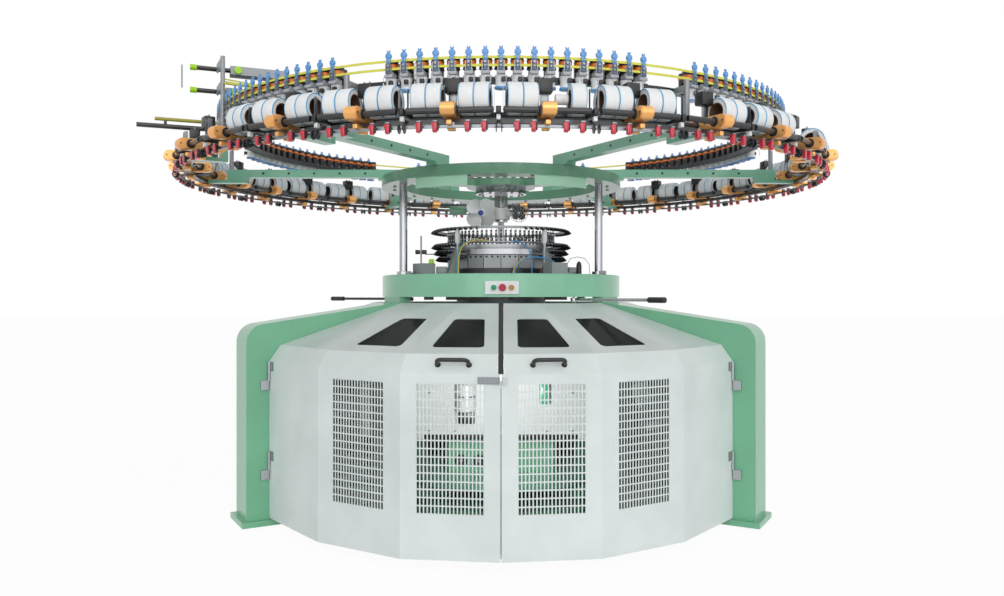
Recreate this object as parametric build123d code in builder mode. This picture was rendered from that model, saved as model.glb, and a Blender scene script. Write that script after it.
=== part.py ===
"""A large circular knitting machine, in millimetres.

The origin is on the machine's axis at floor level, +Z is up and the front is towards -Y.
Three hollow legs carry a round bed. The needle cylinder turns in the bed and the take-down
frame turns with it underneath. Three columns carry the upper ring, whose six arms hold the
ring of elastane units and the ring of storage feeders.
"""

import os

from build123d import *
from math import atan2, cos, degrees, hypot, radians, sin, tan

os.makedirs("parts", exist_ok=True)

# Plan directions in degrees, anticlockwise from +X
FRONT = -90
LEG_SPREAD = 60
LEG_ANGLES = (FRONT - LEG_SPREAD, FRONT + LEG_SPREAD, FRONT + 180)

# Clearances
SEAT_GAP = 0.3
RUNNING_GAP = 0.05

# Legs, their feet and the base frame
LEG_WIDTH = 210
LEG_INNER_R = 635
LEG_OUTER_R = 1510
LEG_TOP_Z = 1120
LEG_END_Z = 1004
LEG_SHOULDER_R = 95
SKIRT_SPREAD = 25
SKIRT_HEIGHT = 28
PAD_R = 45
PAD_HEIGHT = 14
PAD_CIRCLES = (700, 1460)
HUB_R = 150
HUB_HEIGHT = 120
BEAM_WIDTH = 120
BEAM_LOW_Z = 34
BEAM_HIGH_Z = 108

# Bed
BED_R = 695
BED_BOTTOM_Z = 1150
BED_HEIGHT = 122
BED_WALL = 18
BED_PLATE = 25
BED_RIM = 75
BED_RIM_THICK = 14
BED_EDGE_R = 8

# Needle cylinder and what stands round it on the bed
HEAD_BORE_R = 266
CYLINDER_GAP = 4
CYLINDER_WALL = 26
CYLINDER_BOTTOM_Z = 1100
CYLINDER_LENGTH = 348
TRICK_COUNT = 48
TRICK_WIDTH = 5
TRICK_DEPTH = 4
TRICK_LENGTH = 26
SEAT_RING_BAND = 68
SEAT_RING_HEIGHT = 32
CAM_COUNT = 20
CAM_BAND = 46
CAM_HEIGHT = 84
CAM_SPLIT = 4
CAM_HOLES = 3
CAM_HOLE_R = 6.5
CAM_HOLE_PITCH = 32
CAM_HOLE_DROP = 14
CAM_HOLE_DEPTH = 16
SINKER_BAND = 52
SINKER_HEIGHT = 30
SINKER_CAP_BAND = 26
SINKER_LIP = 4
SINKER_CAP_HEIGHT = 28
GUIDE_RING_R = 390
GUIDE_RING_BAND = 22
GUIDE_POST_LENGTH = 256
GUIDE_RING_THICK = 12
GUIDE_POST_R = 13
GUIDE_POST_TURNS = (-140, -40, 40, 140)
GUSSET_THICK = 14
GUSSET_REACH = 80
GUSSET_HEIGHT = 168
# Each tier round the head: its outer radius and its height over the bed
GUIDE_TIERS = ((372, 96), (384, 132), (396, 168))
GUIDE_TIER_BAND = 44
GUIDE_TIER_THICK = 10
VALVE_BOX = (105, 80, 62)
VALVE_BOX_TURNS = (-52, 33, 128, 215)
VALVE_BOX_CIRCLE = 500

# Columns, upper ring, arms and rails
COLUMN_R = 22
COLUMN_INSET = 74
COLUMN_LENGTH = 510
COLUMN_COLLAR_R = 36
COLUMN_COLLAR_HEIGHT = 18
RING_R = 700
RING_BAND = 140
RING_HEIGHT = 56
SPOKE_WIDTH = 90
SPOKE_INSET = 8
RING_HUB_R = 200
ARM_COUNT = 6
ARM_WIDTH = 60
ARM_SEAT = 100
ARM_STEP = 25
ARM_RISE = 15
ARM_HEIGHT = 45
ARM_END_STEP = 113
ARM_LUG_LENGTH = 225
POST_FOOT_BACK = 16
RAIL_SIDES = 60
RAIL_BAND = 40
RAIL_HEIGHT = 18
RAIL_DROP = 14.5

# Elastane units, all carried by the outer rail
UNIT_COUNT = 30
UNIT_TURN = 5.7
UNIT_CIRCLE_R = 1745
HOUSING_WIDTH = 56
HOUSING_HEIGHT = 53
HOUSING_LENGTH = 230
ROD_R = 12.5
ROD_SPACING = 108
ROD_REACH = 170
PACKAGE_PAIR_WIDTH = 118
PACKAGE_BORE_R = 41
PACKAGE_OFFSET = 93
PACKAGE_SIDES = 12

# Stop motions hung outside the outer rail
STOP_RAIL_GAP = 20
STOP_RAIL_BAND = 10
STOP_RAIL_HEIGHT = 10
HANGER_COUNT = 15
HANGER_WIDTH = 20
HANGER_HEIGHT = 10.5
HANGER_OVERLAP = 10
STOP_SIZE = (20, 24, 46)
STOP_PITCH = 92
STOP_DROP = 19

# Storage feeders, their rail, posts and belts
FEEDER_RAIL_INSET = 195
FEEDER_RAIL_BAND = 30
FEEDER_RAIL_RISE = 137
FEEDER_RAIL_HEIGHT = 25
FEEDER_PITCH = 2.45
FEEDER_WIDTH = 34
FEEDER_SETBACK = 5
FEEDER_DEPTH = 80
FEEDER_BODY_HEIGHT = 80
FEEDER_HEAD_DEPTH = 29
FEEDER_HEAD_WIDTH = 26
FEEDER_HEAD_HEIGHT = 38
FEEDER_DRUM_R = 27
FEEDER_DRUM_SIDES = 8
FEEDER_DRUM_HEIGHT = 58
POST_TURNS = (30, -24, 90, -90, 150, -150)
POST_GAP = 5.8
POST_R = 12.5
POST_STANDOFF = 66
POST_BELT_GAP = 4
POST_TAB_WIDTH = 30
BELT_RISES = (28, 61)
BELT_HEIGHT = 10
BELT_THICK = 2

# Belt drive device that stands on the left of the outer rail
SIDE_POST_TURN = -60
SIDE_POST_R = 11
SIDE_POST_LENGTH = 452
SIDE_TURN = -67
SIDE_TUBE_R = 12
# Each tube and plate: its two ends from the rail's bore, and its height over the arms
SIDE_TUBE_ENDS = ((-425, -25, 432), (-325, -25, 316), (-133, 260, 118))
SIDE_PLATE_ENDS = ((-490, -190, 432), (-300, -165, 316))
SIDE_CAP_R = 15
SIDE_CAP_LENGTH = 32
SIDE_PLATE_THICK = 8
SIDE_PLATE_HEIGHT = 44
SIDE_DISC_R = 19
SIDE_DISC_THICK = 12

# Central shaft and lint fans
SHAFT_FLANGE_R = 150
SHAFT_FLANGE_HEIGHT = 36
SHAFT_R = 40
SHAFT_SPINDLE_R = 22
SHAFT_SHOULDER = 6
SHAFT_NUT_HEIGHT = 14
CARRIER_R = 52
CARRIER_DROP = 120
CARRIER_HEIGHT = 66
FAN_MOTOR_LENGTH = 70
# Each fan: distance from the axis, radius of its motor, of its hub and over its blades
LARGE_FAN = (-118, 34, 21, 96)
SMALL_FAN = (104, 24, 15, 52)
FAN_BLADES = 4
FAN_BLADE_WIDTHS = {"large_fan": 32, "small_fan": 22}
FAN_BLADE_THICK = 3
FAN_HUB_LENGTH = 26
FAN_GAP = 0.4

# Doors and guards: corner radius and turn from the front for each plan corner
DOOR_CORNERS = ((1400.9, 55.17), (1461, 34.43), (1511.4, 16.39), (1504, 0))
SHEET = 3
LEAF_BOTTOM_Z = 47
LEAF_FOLD_Z = 830
LEAF_EAVE_Z = 910
LEAF_TOP_Z = 1118
BAND_LEAN = 55
ROOF_RUN = 650
LEAF_SIDE_GAP = 3
SEAM_GAP = 2
SEAM_GAP_ROOF = 12
FLANGE = 26
GRILLE_WIDTH = 290
GRILLE_LOW_Z = 240
GRILLE_HIGH_Z = 790
GRILLE_LAP = 12
GRILLE_SHEET = 2
GRILLE_COLUMNS = 18
GRILLE_SLOT_WIDTH = 10
GUARD_COLUMNS = 9
GUARD_SLOT_WIDTH = 22
# Each roof window: centre and width at its low edge, centre and width at its high edge
ROOF_WINDOWS = {1: (229, 260, 170, 150), 2: (212, 234, 208, 143)}
WINDOW_LOW = 76
WINDOW_HIGH = 452
WINDOW_CORNER_R = 22
HINGE_R = 6
HINGE_STANDOFF = 16
HINGE_PIN_R = 3
HINGE_HEIGHT = 94
HINGE_LEVELS = (290, 735)
HINGE_PLATE = 40
HINGE_PLATE_THICK = 2.5
HANDLE_SPAN = 134
HANDLE_REACH = 44
HANDLE_R = 7.5
HANDLE_BEND_R = 22
HANDLE_FROM_SEAM = 210
HANDLE_UP = 42
SEAL_HALF = 11
SEAL_THICK = 8
LATCH_Z = 803
LATCH_HEIGHT = 30
LATCH_LENGTH = 92
LATCH_PLATE_THICK = 2.5
LATCH_BOLT = (84, 24, 4)
LATCH_GAP = 0.3
LATCH_BRIDGE = 14
LATCH_BRIDGE_THICK = 2.5
LATCH_FROM_SEAM = 4
KEEPER_GAP = 6

# Buttons on the bed's front
PLATE_SIZE = (172, 66)
PLATE_REACH = 11
PLATE_CENTRE = (5, 1198)
BUTTON_TRAVEL = 3
BUTTON_STEM_R = 7
BUTTON_STEM_GAP = 0.3
BUTTON_STEM_LENGTH = 8
BUTTON_POCKET = 12.5
BUTTONS = {"green_button": (-37, 14), "red_button": (7, 19), "orange_button": (53, 14)}
BUTTON_CAP_THICK = 8

# Hand levers under the bed: direction in plan
LEVER_ANGLES = {"left_lever": 150, "right_lever": -54}
LEVER_PIVOT_R = 657
LEVER_Z = 1136
LEVER_R = 8
LEVER_EYE_R = 18
LEVER_EYE_HEIGHT = 18
LEVER_PIN_R = 7
LEVER_PIN_HEAD_R = 12
LEVER_PIN_HEAD = 6
LEVER_END_R = 1200
GRIP_R = 14
GRIP_LENGTH = 108

# Take-down frame that turns with the needle cylinder
TAKEDOWN_RING_R = 520
TAKEDOWN_RING_BORE_R = 230
TAKEDOWN_RING_THICK = 25
SIDE_SHEET_Y = 290
SIDE_SHEET_THICK = 20
SIDE_SHEET_OUTLINE = ((540, 360), (540, 650), (430, 770), (330, 1075))
SIDE_SHEET_CORNER_R = 50
TURNTABLE_R = 560
TURNTABLE_THICK = 30
UPRIGHT = (50, 40)
UPRIGHT_X = 490
GEARBOX = (620, 340, 190)
GEARBOX_EDGE_R = 24
GEARBOX_COVER_R = 34
GEARBOX_COVER_X = (-150, -75)
GEARBOX_COVER_THICK = 12
ROLLER_R = 32
ROLLER_NIP = 4
ROLLER_Z = 560
JOURNAL_R = 12
CLOTH_ROLLER_R = 45
CLOTH_ROLLER_Z = 452
ROLLER_END_GAP = 1

# Drive motor bolted to the right leg
MOTOR_R = 95
MOTOR_HEIGHT = 290
MOTOR_LOW_Z = 600
MOTOR_CIRCLE = 900
MOTOR_PLATE = 16
MOTOR_STANDOFF = 130

# Places that follow from the sizes: the bed and the knitting head
bed_top_z = BED_BOTTOM_Z + BED_HEIGHT
cylinder_r = HEAD_BORE_R - CYLINDER_GAP
cylinder_bore_r = cylinder_r - CYLINDER_WALL
cylinder_top_z = CYLINDER_BOTTOM_Z + CYLINDER_LENGTH
seat_ring_r = HEAD_BORE_R + SEAT_RING_BAND
cam_r = HEAD_BORE_R + CAM_BAND
sinker_r = HEAD_BORE_R + SINKER_BAND
sinker_cap_r = HEAD_BORE_R + SINKER_CAP_BAND
guide_ring_bore_r = GUIDE_RING_R - GUIDE_RING_BAND
guide_ring_z = bed_top_z + GUIDE_POST_LENGTH
plate_front_r = BED_R + PLATE_REACH

# The upper ring on its columns, the arms on the ring, and the rails on the arms
column_circle = RING_R - COLUMN_INSET
ring_bore_r = RING_R - RING_BAND
ring_bottom_z = bed_top_z + COLUMN_LENGTH
ring_top_z = ring_bottom_z + RING_HEIGHT
spoke_low_z = ring_bottom_z + SPOKE_INSET
spoke_high_z = ring_top_z - SPOKE_INSET
rail_bore_r = UNIT_CIRCLE_R - RAIL_BAND / 2
rail_r = UNIT_CIRCLE_R + RAIL_BAND / 2
arm_inner_r = RING_R - ARM_SEAT
arm_step_r = RING_R + ARM_STEP
arm_end_r = rail_bore_r - ARM_END_STEP
arm_lug_r = rail_bore_r - ARM_LUG_LENGTH
arm_low_z = ring_top_z + ARM_RISE
arm_high_z = arm_low_z + ARM_HEIGHT
rail_high_z = arm_low_z - RAIL_DROP
rail_low_z = rail_high_z - RAIL_HEIGHT
stop_rail_bore_r = rail_r + STOP_RAIL_GAP
stop_rail_r = stop_rail_bore_r + STOP_RAIL_BAND
stop_rail_high_z = rail_low_z - HANGER_HEIGHT
stop_rail_low_z = stop_rail_high_z - STOP_RAIL_HEIGHT
stop_low_z = stop_rail_low_z - STOP_DROP
feeder_rail_r = rail_bore_r - FEEDER_RAIL_INSET
feeder_rail_bore_r = feeder_rail_r - FEEDER_RAIL_BAND
feeder_rail_low_z = arm_high_z + FEEDER_RAIL_RISE
feeder_rail_high_z = feeder_rail_low_z + FEEDER_RAIL_HEIGHT
feeder_body_r = feeder_rail_bore_r + FEEDER_SETBACK
feeder_front_r = feeder_body_r + FEEDER_DEPTH
feeder_head_r = feeder_front_r - FEEDER_HEAD_DEPTH
feeder_body_top_z = feeder_rail_high_z + FEEDER_BODY_HEIGHT
feeder_top_z = feeder_body_top_z + FEEDER_HEAD_HEIGHT
belt_levels = [feeder_rail_high_z + rise for rise in BELT_RISES]
post_circle = feeder_rail_r + POST_STANDOFF
post_foot_r = post_circle - POST_FOOT_BACK
post_top_z = belt_levels[0] - POST_BELT_GAP
corner_stretch = 1 / cos(radians(180 / RAIL_SIDES))
belt_corner_r = (feeder_front_r + SEAT_GAP + BELT_THICK) * corner_stretch
side_post_circle = belt_corner_r + SEAT_GAP + SIDE_POST_R
side_post_top_z = arm_high_z + SIDE_POST_LENGTH
side_tubes_at = [(rail_bore_r + a, rail_bore_r + b, arm_high_z + z) for a, b, z in SIDE_TUBE_ENDS]
side_plates_at = [
    (rail_bore_r + a, rail_bore_r + b, arm_high_z + z) for a, b, z in SIDE_PLATE_ENDS
]

# The fan carrier between the shaft's shoulder and its nut
carrier_high_z = spoke_low_z - CARRIER_DROP
carrier_low_z = carrier_high_z - CARRIER_HEIGHT
fan_z = (carrier_low_z + carrier_high_z) / 2
shaft_shoulder_z = carrier_high_z + SHAFT_SHOULDER
shaft_end_z = carrier_low_z - SHAFT_NUT_HEIGHT


def radial_plane(angle, height=0.0):
    """A vertical plane through the axis: local X points outward and local Y points up."""
    a = radians(angle)
    return Plane(origin=(0, 0, height), x_dir=(cos(a), sin(a), 0), z_dir=(sin(a), -cos(a), 0))


def side_plane(angle, radius, height=0.0):
    """A vertical plane square to a radius: local X is tangential, local Z points outward."""
    a = radians(angle)
    origin = (radius * cos(a), radius * sin(a), height)
    return Plane(origin=origin, x_dir=(-sin(a), cos(a), 0), z_dir=(cos(a), sin(a), 0))


def unit(angle):
    """A unit vector in plan."""
    return Vector(cos(radians(angle)), sin(radians(angle)), 0)


def meet(first, second):
    """Where two plan lines cross; each line is a point and a direction."""
    point, along = first
    other, across = second
    gap = other - point
    share = (gap.X * across.Y - gap.Y * across.X) / (along.X * across.Y - along.Y * across.X)
    return point + along * share


def facet_line(facet, inset):
    """The plan line of one facet of the left leaf, moved inward by inset."""
    start, end = (unit(FRONT - turn) * radius for radius, turn in DOOR_CORNERS[facet : facet + 2])
    along = (end - start).normalized()
    inward = Vector(-along.Y, along.X, 0)
    return start + inward * inset, along


def leg_side_line(gap):
    """The plan line that lies off the left leg's front face by gap."""
    outward = unit(FRONT - LEG_SPREAD)
    sideways = unit(FRONT - LEG_SPREAD + 90)
    return sideways * (LEG_WIDTH / 2 + gap), outward


def leaf_corners(inset, side_gap, seam_gap):
    """The four plan corners of the left leaf at one level, from the leg to the seam."""
    lines = [leg_side_line(side_gap)]
    lines += [facet_line(facet, inset) for facet in range(len(DOOR_CORNERS) - 1)]
    lines += [(Vector(-seam_gap, 0, 0), Vector(0, 1, 0))]
    return [meet(one, two) for one, two in zip(lines, lines[1:])]


def raised(point, height):
    """A plan point lifted to a height."""
    return Vector(point.X, point.Y, height)


def leaf_panels(side_gap, seam_gap, roof_gap):
    """The corners of every flat panel of the left leaf, keyed by level and facet."""
    levels = {
        "wall": ((LEAF_BOTTOM_Z, 0), (LEAF_FOLD_Z, 0), seam_gap),
        "band": ((LEAF_FOLD_Z, 0), (LEAF_EAVE_Z, BAND_LEAN), roof_gap),
        "roof": ((LEAF_EAVE_Z, BAND_LEAN), (LEAF_TOP_Z, BAND_LEAN + ROOF_RUN), roof_gap),
    }
    panels = {}
    for level, (low, high, gap) in levels.items():
        low_corners = leaf_corners(low[1], side_gap, gap)
        high_corners = leaf_corners(high[1], side_gap, gap)
        for facet in range(len(DOOR_CORNERS) - 1):
            panels[level, facet] = [
                raised(low_corners[facet], low[0]),
                raised(low_corners[facet + 1], low[0]),
                raised(high_corners[facet + 1], high[0]),
                raised(high_corners[facet], high[0]),
            ]
    return panels


def panel_plane(corners):
    """The outer plane of a panel: local X along its low edge, local Z outward."""
    along = corners[1] - corners[0]
    return Plane(origin=corners[0], x_dir=along, z_dir=along.cross(corners[3] - corners[0]))


def panel_sheet(corners, thickness):
    """One flat sheet panel, solid inward from its outer corners."""
    plane = panel_plane(corners)
    with BuildPart() as sheet:
        with BuildSketch(plane):
            with BuildLine():
                Polyline(*[plane.to_local_coords(corner) for corner in corners], close=True)
            make_face()
        extrude(amount=-thickness)
    return sheet.part


def flange_corners(panels, level, facet):
    """A return flange folded inward from the low edge of a panel."""
    low, high = panels[level, facet][:2]
    inward = Vector(0, 0, 1).cross(high - low).normalized() * FLANGE
    return [low, low + inward, high + inward, high]


def leaf_room(side_gap, seam_gap, roof_gap):
    """The space between the left leg's face and the seam plane, which the left leaf keeps to."""
    reach = 2 * LEG_OUTER_R
    leg_point, leg_along = leg_side_line(side_gap)
    with BuildPart() as room:
        for gap, low, high in (
            (seam_gap, LEAF_BOTTOM_Z, LEAF_FOLD_Z),
            (roof_gap, LEAF_FOLD_Z, LEAF_TOP_Z),
        ):
            apex = meet((leg_point, leg_along), (Vector(-gap, 0, 0), Vector(0, 1, 0)))
            with BuildSketch(Plane.XY.offset(low)):
                with BuildLine():
                    Polyline(apex, apex + leg_along * reach, (-gap, -reach), close=True)
                make_face()
            extrude(amount=high - low)
    return room.part


def folded_leaf(side_gap, seam_gap, roof_gap):
    """The left leaf: three facets folded from sheet, with grille and roof windows."""
    panels = leaf_panels(side_gap, seam_gap, roof_gap)
    room = leaf_room(side_gap, seam_gap, roof_gap)
    with BuildPart() as leaf:
        for corners in panels.values():
            add(panel_sheet(corners, SHEET))
        for facet in range(len(DOOR_CORNERS) - 1):
            add(panel_sheet(flange_corners(panels, "wall", facet), SHEET))
        add(room, mode=Mode.INTERSECT)
        for facet in ROOF_WINDOWS:
            wall = panels["wall", facet]
            middle = (wall[1] - wall[0]).length / 2
            centre = (GRILLE_LOW_Z + GRILLE_HIGH_Z) / 2 - LEAF_BOTTOM_Z
            with BuildSketch(panel_plane(wall)):
                with Locations((middle, centre)):
                    Rectangle(GRILLE_WIDTH, GRILLE_HIGH_Z - GRILLE_LOW_Z)
            extrude(amount=-SHEET, mode=Mode.SUBTRACT)
        for facet, (low_x, low_width, high_x, high_width) in ROOF_WINDOWS.items():
            outline = (
                (low_x - low_width / 2, WINDOW_LOW),
                (low_x + low_width / 2, WINDOW_LOW),
                (high_x + high_width / 2, WINDOW_HIGH),
                (high_x - high_width / 2, WINDOW_HIGH),
            )
            with BuildSketch(panel_plane(panels["roof", facet])) as window:
                with BuildLine():
                    Polyline(*outline, close=True)
                make_face()
                fillet(window.vertices(), WINDOW_CORNER_R)
            extrude(amount=-SHEET, mode=Mode.SUBTRACT)
    return leaf.part


def leaf_grilles(side_gap, seam_gap, roof_gap, columns, slot_width):
    """The two slotted grille sheets that lie behind a leaf's wall windows."""
    panels = leaf_panels(side_gap, seam_gap, roof_gap)
    height = GRILLE_HIGH_Z - GRILLE_LOW_Z
    with BuildPart() as grilles:
        for facet in ROOF_WINDOWS:
            wall = panels["wall", facet]
            middle = (wall[1] - wall[0]).length / 2
            centre = (GRILLE_LOW_Z + GRILLE_HIGH_Z) / 2 - LEAF_BOTTOM_Z
            with BuildSketch(panel_plane(wall).offset(-SHEET)):
                with Locations((middle, centre)):
                    Rectangle(GRILLE_WIDTH + 2 * GRILLE_LAP, height + 2 * GRILLE_LAP)
                    with GridLocations(GRILLE_WIDTH / columns, 0, columns, 1):
                        Rectangle(slot_width, height - GRILLE_LAP, mode=Mode.SUBTRACT)
            extrude(amount=-GRILLE_SHEET)
    return grilles.part


def mirrored(part):
    """The same part on the other side of the machine's middle plane."""
    return mirror(part, about=Plane.YZ)


def polygon_ring(bore_radius, outer_radius, low_z, high_z):
    """A rail rolled in flat spans: radii are measured to the middle of each span."""
    half_span = 180 / RAIL_SIDES
    with BuildPart() as rail:
        with BuildSketch(Plane.XY.offset(low_z)):
            RegularPolygon(outer_radius, RAIL_SIDES, major_radius=False, rotation=half_span)
            RegularPolygon(
                bore_radius,
                RAIL_SIDES,
                major_radius=False,
                rotation=half_span,
                mode=Mode.SUBTRACT,
            )
        extrude(amount=high_z - low_z)
    return rail.part


def save(part, name):
    """Label a finished piece and write its file."""
    part.label = name
    export_step(part, f"parts/{name}.step")


# Legs with a skirt round each foot
leg_outline = (
    (LEG_INNER_R, PAD_HEIGHT),
    (LEG_OUTER_R, PAD_HEIGHT),
    (LEG_OUTER_R, LEG_END_Z),
    (BED_R + SEAT_GAP, LEG_TOP_Z),
    (BED_R + SEAT_GAP, BED_BOTTOM_Z),
    (LEG_INNER_R, BED_BOTTOM_Z),
)
with BuildPart() as leg:
    with BuildSketch(Plane.XZ) as leg_side:
        with BuildLine():
            Polyline(*leg_outline, close=True)
        make_face()
        fillet(leg_side.vertices().group_by(Axis.X)[-1].sort_by(Axis.Y)[-1], LEG_SHOULDER_R)
    extrude(amount=LEG_WIDTH / 2, both=True)
    with BuildSketch(Plane.XY.offset(PAD_HEIGHT)):
        with Locations(((LEG_INNER_R + LEG_OUTER_R + SKIRT_SPREAD) / 2, 0)):
            Rectangle(LEG_OUTER_R + SKIRT_SPREAD - LEG_INNER_R, LEG_WIDTH + 2 * SKIRT_SPREAD)
    extrude(amount=SKIRT_HEIGHT)
with BuildPart() as legs:
    with Locations(*[Location((0, 0, 0), (0, 0, angle)) for angle in LEG_ANGLES]):
        add(leg.part)
save(legs.part, "legs")

with BuildPart() as levelling_feet:
    for angle in LEG_ANGLES:
        for radius in PAD_CIRCLES:
            with Locations(unit(angle) * radius):
                Cylinder(PAD_R, PAD_HEIGHT, align=(Align.CENTER, Align.CENTER, Align.MIN))
save(levelling_feet.part, "levelling_feet")

with BuildPart() as base_frame:
    Cylinder(HUB_R, HUB_HEIGHT, align=(Align.CENTER, Align.CENTER, Align.MIN))
    for angle in LEG_ANGLES:
        with BuildSketch(side_plane(angle, 0)):
            with Locations((0, (BEAM_LOW_Z + BEAM_HIGH_Z) / 2)):
                Rectangle(BEAM_WIDTH, BEAM_HIGH_Z - BEAM_LOW_Z)
        extrude(amount=LEG_INNER_R)
save(base_frame.part, "base_frame")

# Bed: a turned tray with a rim underneath and a pin for each hand lever
bed_outline = (
    (HEAD_BORE_R, bed_top_z),
    (BED_R, bed_top_z),
    (BED_R, BED_BOTTOM_Z),
    (BED_R - BED_RIM, BED_BOTTOM_Z),
    (BED_R - BED_RIM, BED_BOTTOM_Z + BED_RIM_THICK),
    (BED_R - BED_WALL, BED_BOTTOM_Z + BED_RIM_THICK),
    (BED_R - BED_WALL, bed_top_z - BED_PLATE),
    (HEAD_BORE_R + BED_WALL, bed_top_z - BED_PLATE),
    (HEAD_BORE_R + BED_WALL, BED_BOTTOM_Z),
    (HEAD_BORE_R, BED_BOTTOM_Z),
)
pin_head_top_z = LEVER_Z - LEVER_EYE_HEIGHT / 2 - SEAT_GAP
with BuildPart() as bed_plate:
    with BuildSketch(Plane.XZ) as bed_section:
        with BuildLine():
            Polyline(*bed_outline, close=True)
        make_face()
        fillet(bed_section.vertices().group_by(Axis.Y)[-1].sort_by(Axis.X)[-1], BED_EDGE_R)
    revolve(axis=Axis.Z)
    for angle in LEVER_ANGLES.values():
        with BuildSketch(Plane.XY.offset(pin_head_top_z)):
            with Locations(unit(angle) * LEVER_PIVOT_R):
                Circle(LEVER_PIN_R)
        extrude(amount=BED_BOTTOM_Z - pin_head_top_z)
        with BuildSketch(Plane.XY.offset(pin_head_top_z)):
            with Locations(unit(angle) * LEVER_PIVOT_R):
                Circle(LEVER_PIN_HEAD_R)
        extrude(amount=-LEVER_PIN_HEAD)
save(bed_plate.part, "bed_plate")

# Control plate on the front of the bed, hollowed to the bed's curve, with button pockets
front_plane = Plane(origin=(0, -plate_front_r, 0), x_dir=(1, 0, 0), z_dir=(0, -1, 0))
with BuildPart() as control_plate:
    with BuildSketch(front_plane):
        with Locations(PLATE_CENTRE):
            RectangleRounded(*PLATE_SIZE, 5)
    extrude(amount=-(plate_front_r - BED_R + BED_WALL))
    with BuildSketch(Plane.XY.offset(BED_BOTTOM_Z)):
        Circle(BED_R + SEAT_GAP)
    extrude(amount=bed_top_z - BED_BOTTOM_Z, mode=Mode.SUBTRACT)
    with BuildSketch(front_plane):
        with Locations(*[(x, PLATE_CENTRE[1]) for x, _ in BUTTONS.values()]):
            Circle(BUTTON_STEM_R + BUTTON_STEM_GAP)
    extrude(amount=-BUTTON_POCKET, mode=Mode.SUBTRACT)
save(control_plate.part, "control_plate")

for name, (x, radius) in BUTTONS.items():
    cap_plane = front_plane.offset(BUTTON_TRAVEL + SEAT_GAP)
    with BuildPart() as button:
        with BuildSketch(cap_plane):
            with Locations((x, PLATE_CENTRE[1])):
                Circle(radius)
        extrude(amount=BUTTON_CAP_THICK)
        fillet(button.edges().sort_by(Axis.Y)[0], BUTTON_CAP_THICK / 4)
        with BuildSketch(cap_plane):
            with Locations((x, PLATE_CENTRE[1])):
                Circle(BUTTON_STEM_R)
        extrude(amount=-BUTTON_STEM_LENGTH)
    save(button.part, name)

# Columns and the upper ring with its spokes and hub
with BuildPart() as columns:
    for angle in LEG_ANGLES:
        with BuildSketch(Plane.XY.offset(bed_top_z)):
            with Locations(unit(angle) * column_circle):
                Circle(COLUMN_R)
        extrude(amount=ring_bottom_z - bed_top_z)
        with BuildSketch(Plane.XY.offset(bed_top_z)):
            with Locations(unit(angle) * column_circle):
                Circle(COLUMN_COLLAR_R)
        extrude(amount=COLUMN_COLLAR_HEIGHT)
save(columns.part, "columns")

with BuildPart() as upper_ring:
    with BuildSketch(Plane.XY.offset(ring_bottom_z)):
        Circle(RING_R)
        Circle(ring_bore_r, mode=Mode.SUBTRACT)
    extrude(amount=ring_top_z - ring_bottom_z)
    with BuildSketch(Plane.XY.offset(spoke_low_z)):
        Circle(RING_HUB_R)
        with PolarLocations(ring_bore_r / 2, len(LEG_ANGLES), start_angle=LEG_ANGLES[0]):
            Rectangle(ring_bore_r + BED_WALL, SPOKE_WIDTH)
    extrude(amount=spoke_high_z - spoke_low_z)
save(upper_ring.part, "upper_ring")


# Arms, and short brackets of the same end form under the posts between arms
def arm(inner_radius, low_radius):
    """A radial arm along +X that rests on the ring and ends in a lug against the outer rail."""
    outline = [
        (low_radius, rail_low_z),
        (rail_bore_r, rail_low_z),
        (rail_bore_r, rail_high_z),
        (arm_end_r, rail_high_z),
        (arm_end_r, arm_high_z),
        (inner_radius, arm_high_z),
    ]
    if inner_radius < arm_step_r:
        outline += [(inner_radius, ring_top_z), (arm_step_r, ring_top_z)]
        outline += [(arm_step_r, arm_low_z), (low_radius, arm_low_z)]
    with BuildPart() as beam:
        with BuildSketch(Plane.XZ):
            with BuildLine():
                Polyline(*outline, close=True)
            make_face()
        extrude(amount=ARM_WIDTH / 2, both=True)
    return beam.part


arm_angles = [FRONT + 30 + step * 360 / ARM_COUNT for step in range(ARM_COUNT)]
bracket_angles = [FRONT + turn for turn in (POST_TURNS[1], SIDE_POST_TURN)]
with BuildPart() as radial_arms:
    with Locations(*[Location((0, 0, 0), (0, 0, angle)) for angle in arm_angles]):
        add(arm(arm_inner_r, arm_lug_r))
    with Locations(*[Location((0, 0, 0), (0, 0, angle)) for angle in bracket_angles]):
        add(arm(post_foot_r, post_foot_r))
save(radial_arms.part, "radial_arms")

save(polygon_ring(rail_bore_r, rail_r, rail_low_z, rail_high_z), "elastane_rail")

# Elastane units: housing, four rod ends and two pairs of packages on each
unit_angle = FRONT + UNIT_TURN
housing_z = rail_high_z + HOUSING_HEIGHT / 2
with BuildPart() as housing:
    with BuildSketch(Plane.XZ):
        SlotOverall(HOUSING_LENGTH, HOUSING_HEIGHT)
    extrude(amount=HOUSING_WIDTH / 2, both=True)
with BuildPart() as unit_housings:
    with PolarLocations(UNIT_CIRCLE_R, UNIT_COUNT, start_angle=unit_angle):
        with Locations((0, 0, housing_z)):
            add(housing.part)
save(unit_housings.part, "unit_housings")

rod_side = ROD_R * 2
rod_length = ROD_REACH - HOUSING_WIDTH / 2
rod_middle = (ROD_REACH + HOUSING_WIDTH / 2) / 2
with BuildPart() as unit_rods:
    with PolarLocations(UNIT_CIRCLE_R, UNIT_COUNT, start_angle=unit_angle):
        with Locations((0, 0, housing_z)):
            with GridLocations(ROD_SPACING, 2 * rod_middle, 2, 2):
                Box(rod_side, rod_length, rod_side, rotation=(0, 45, 0))
save(unit_rods.part, "unit_rods")

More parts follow.
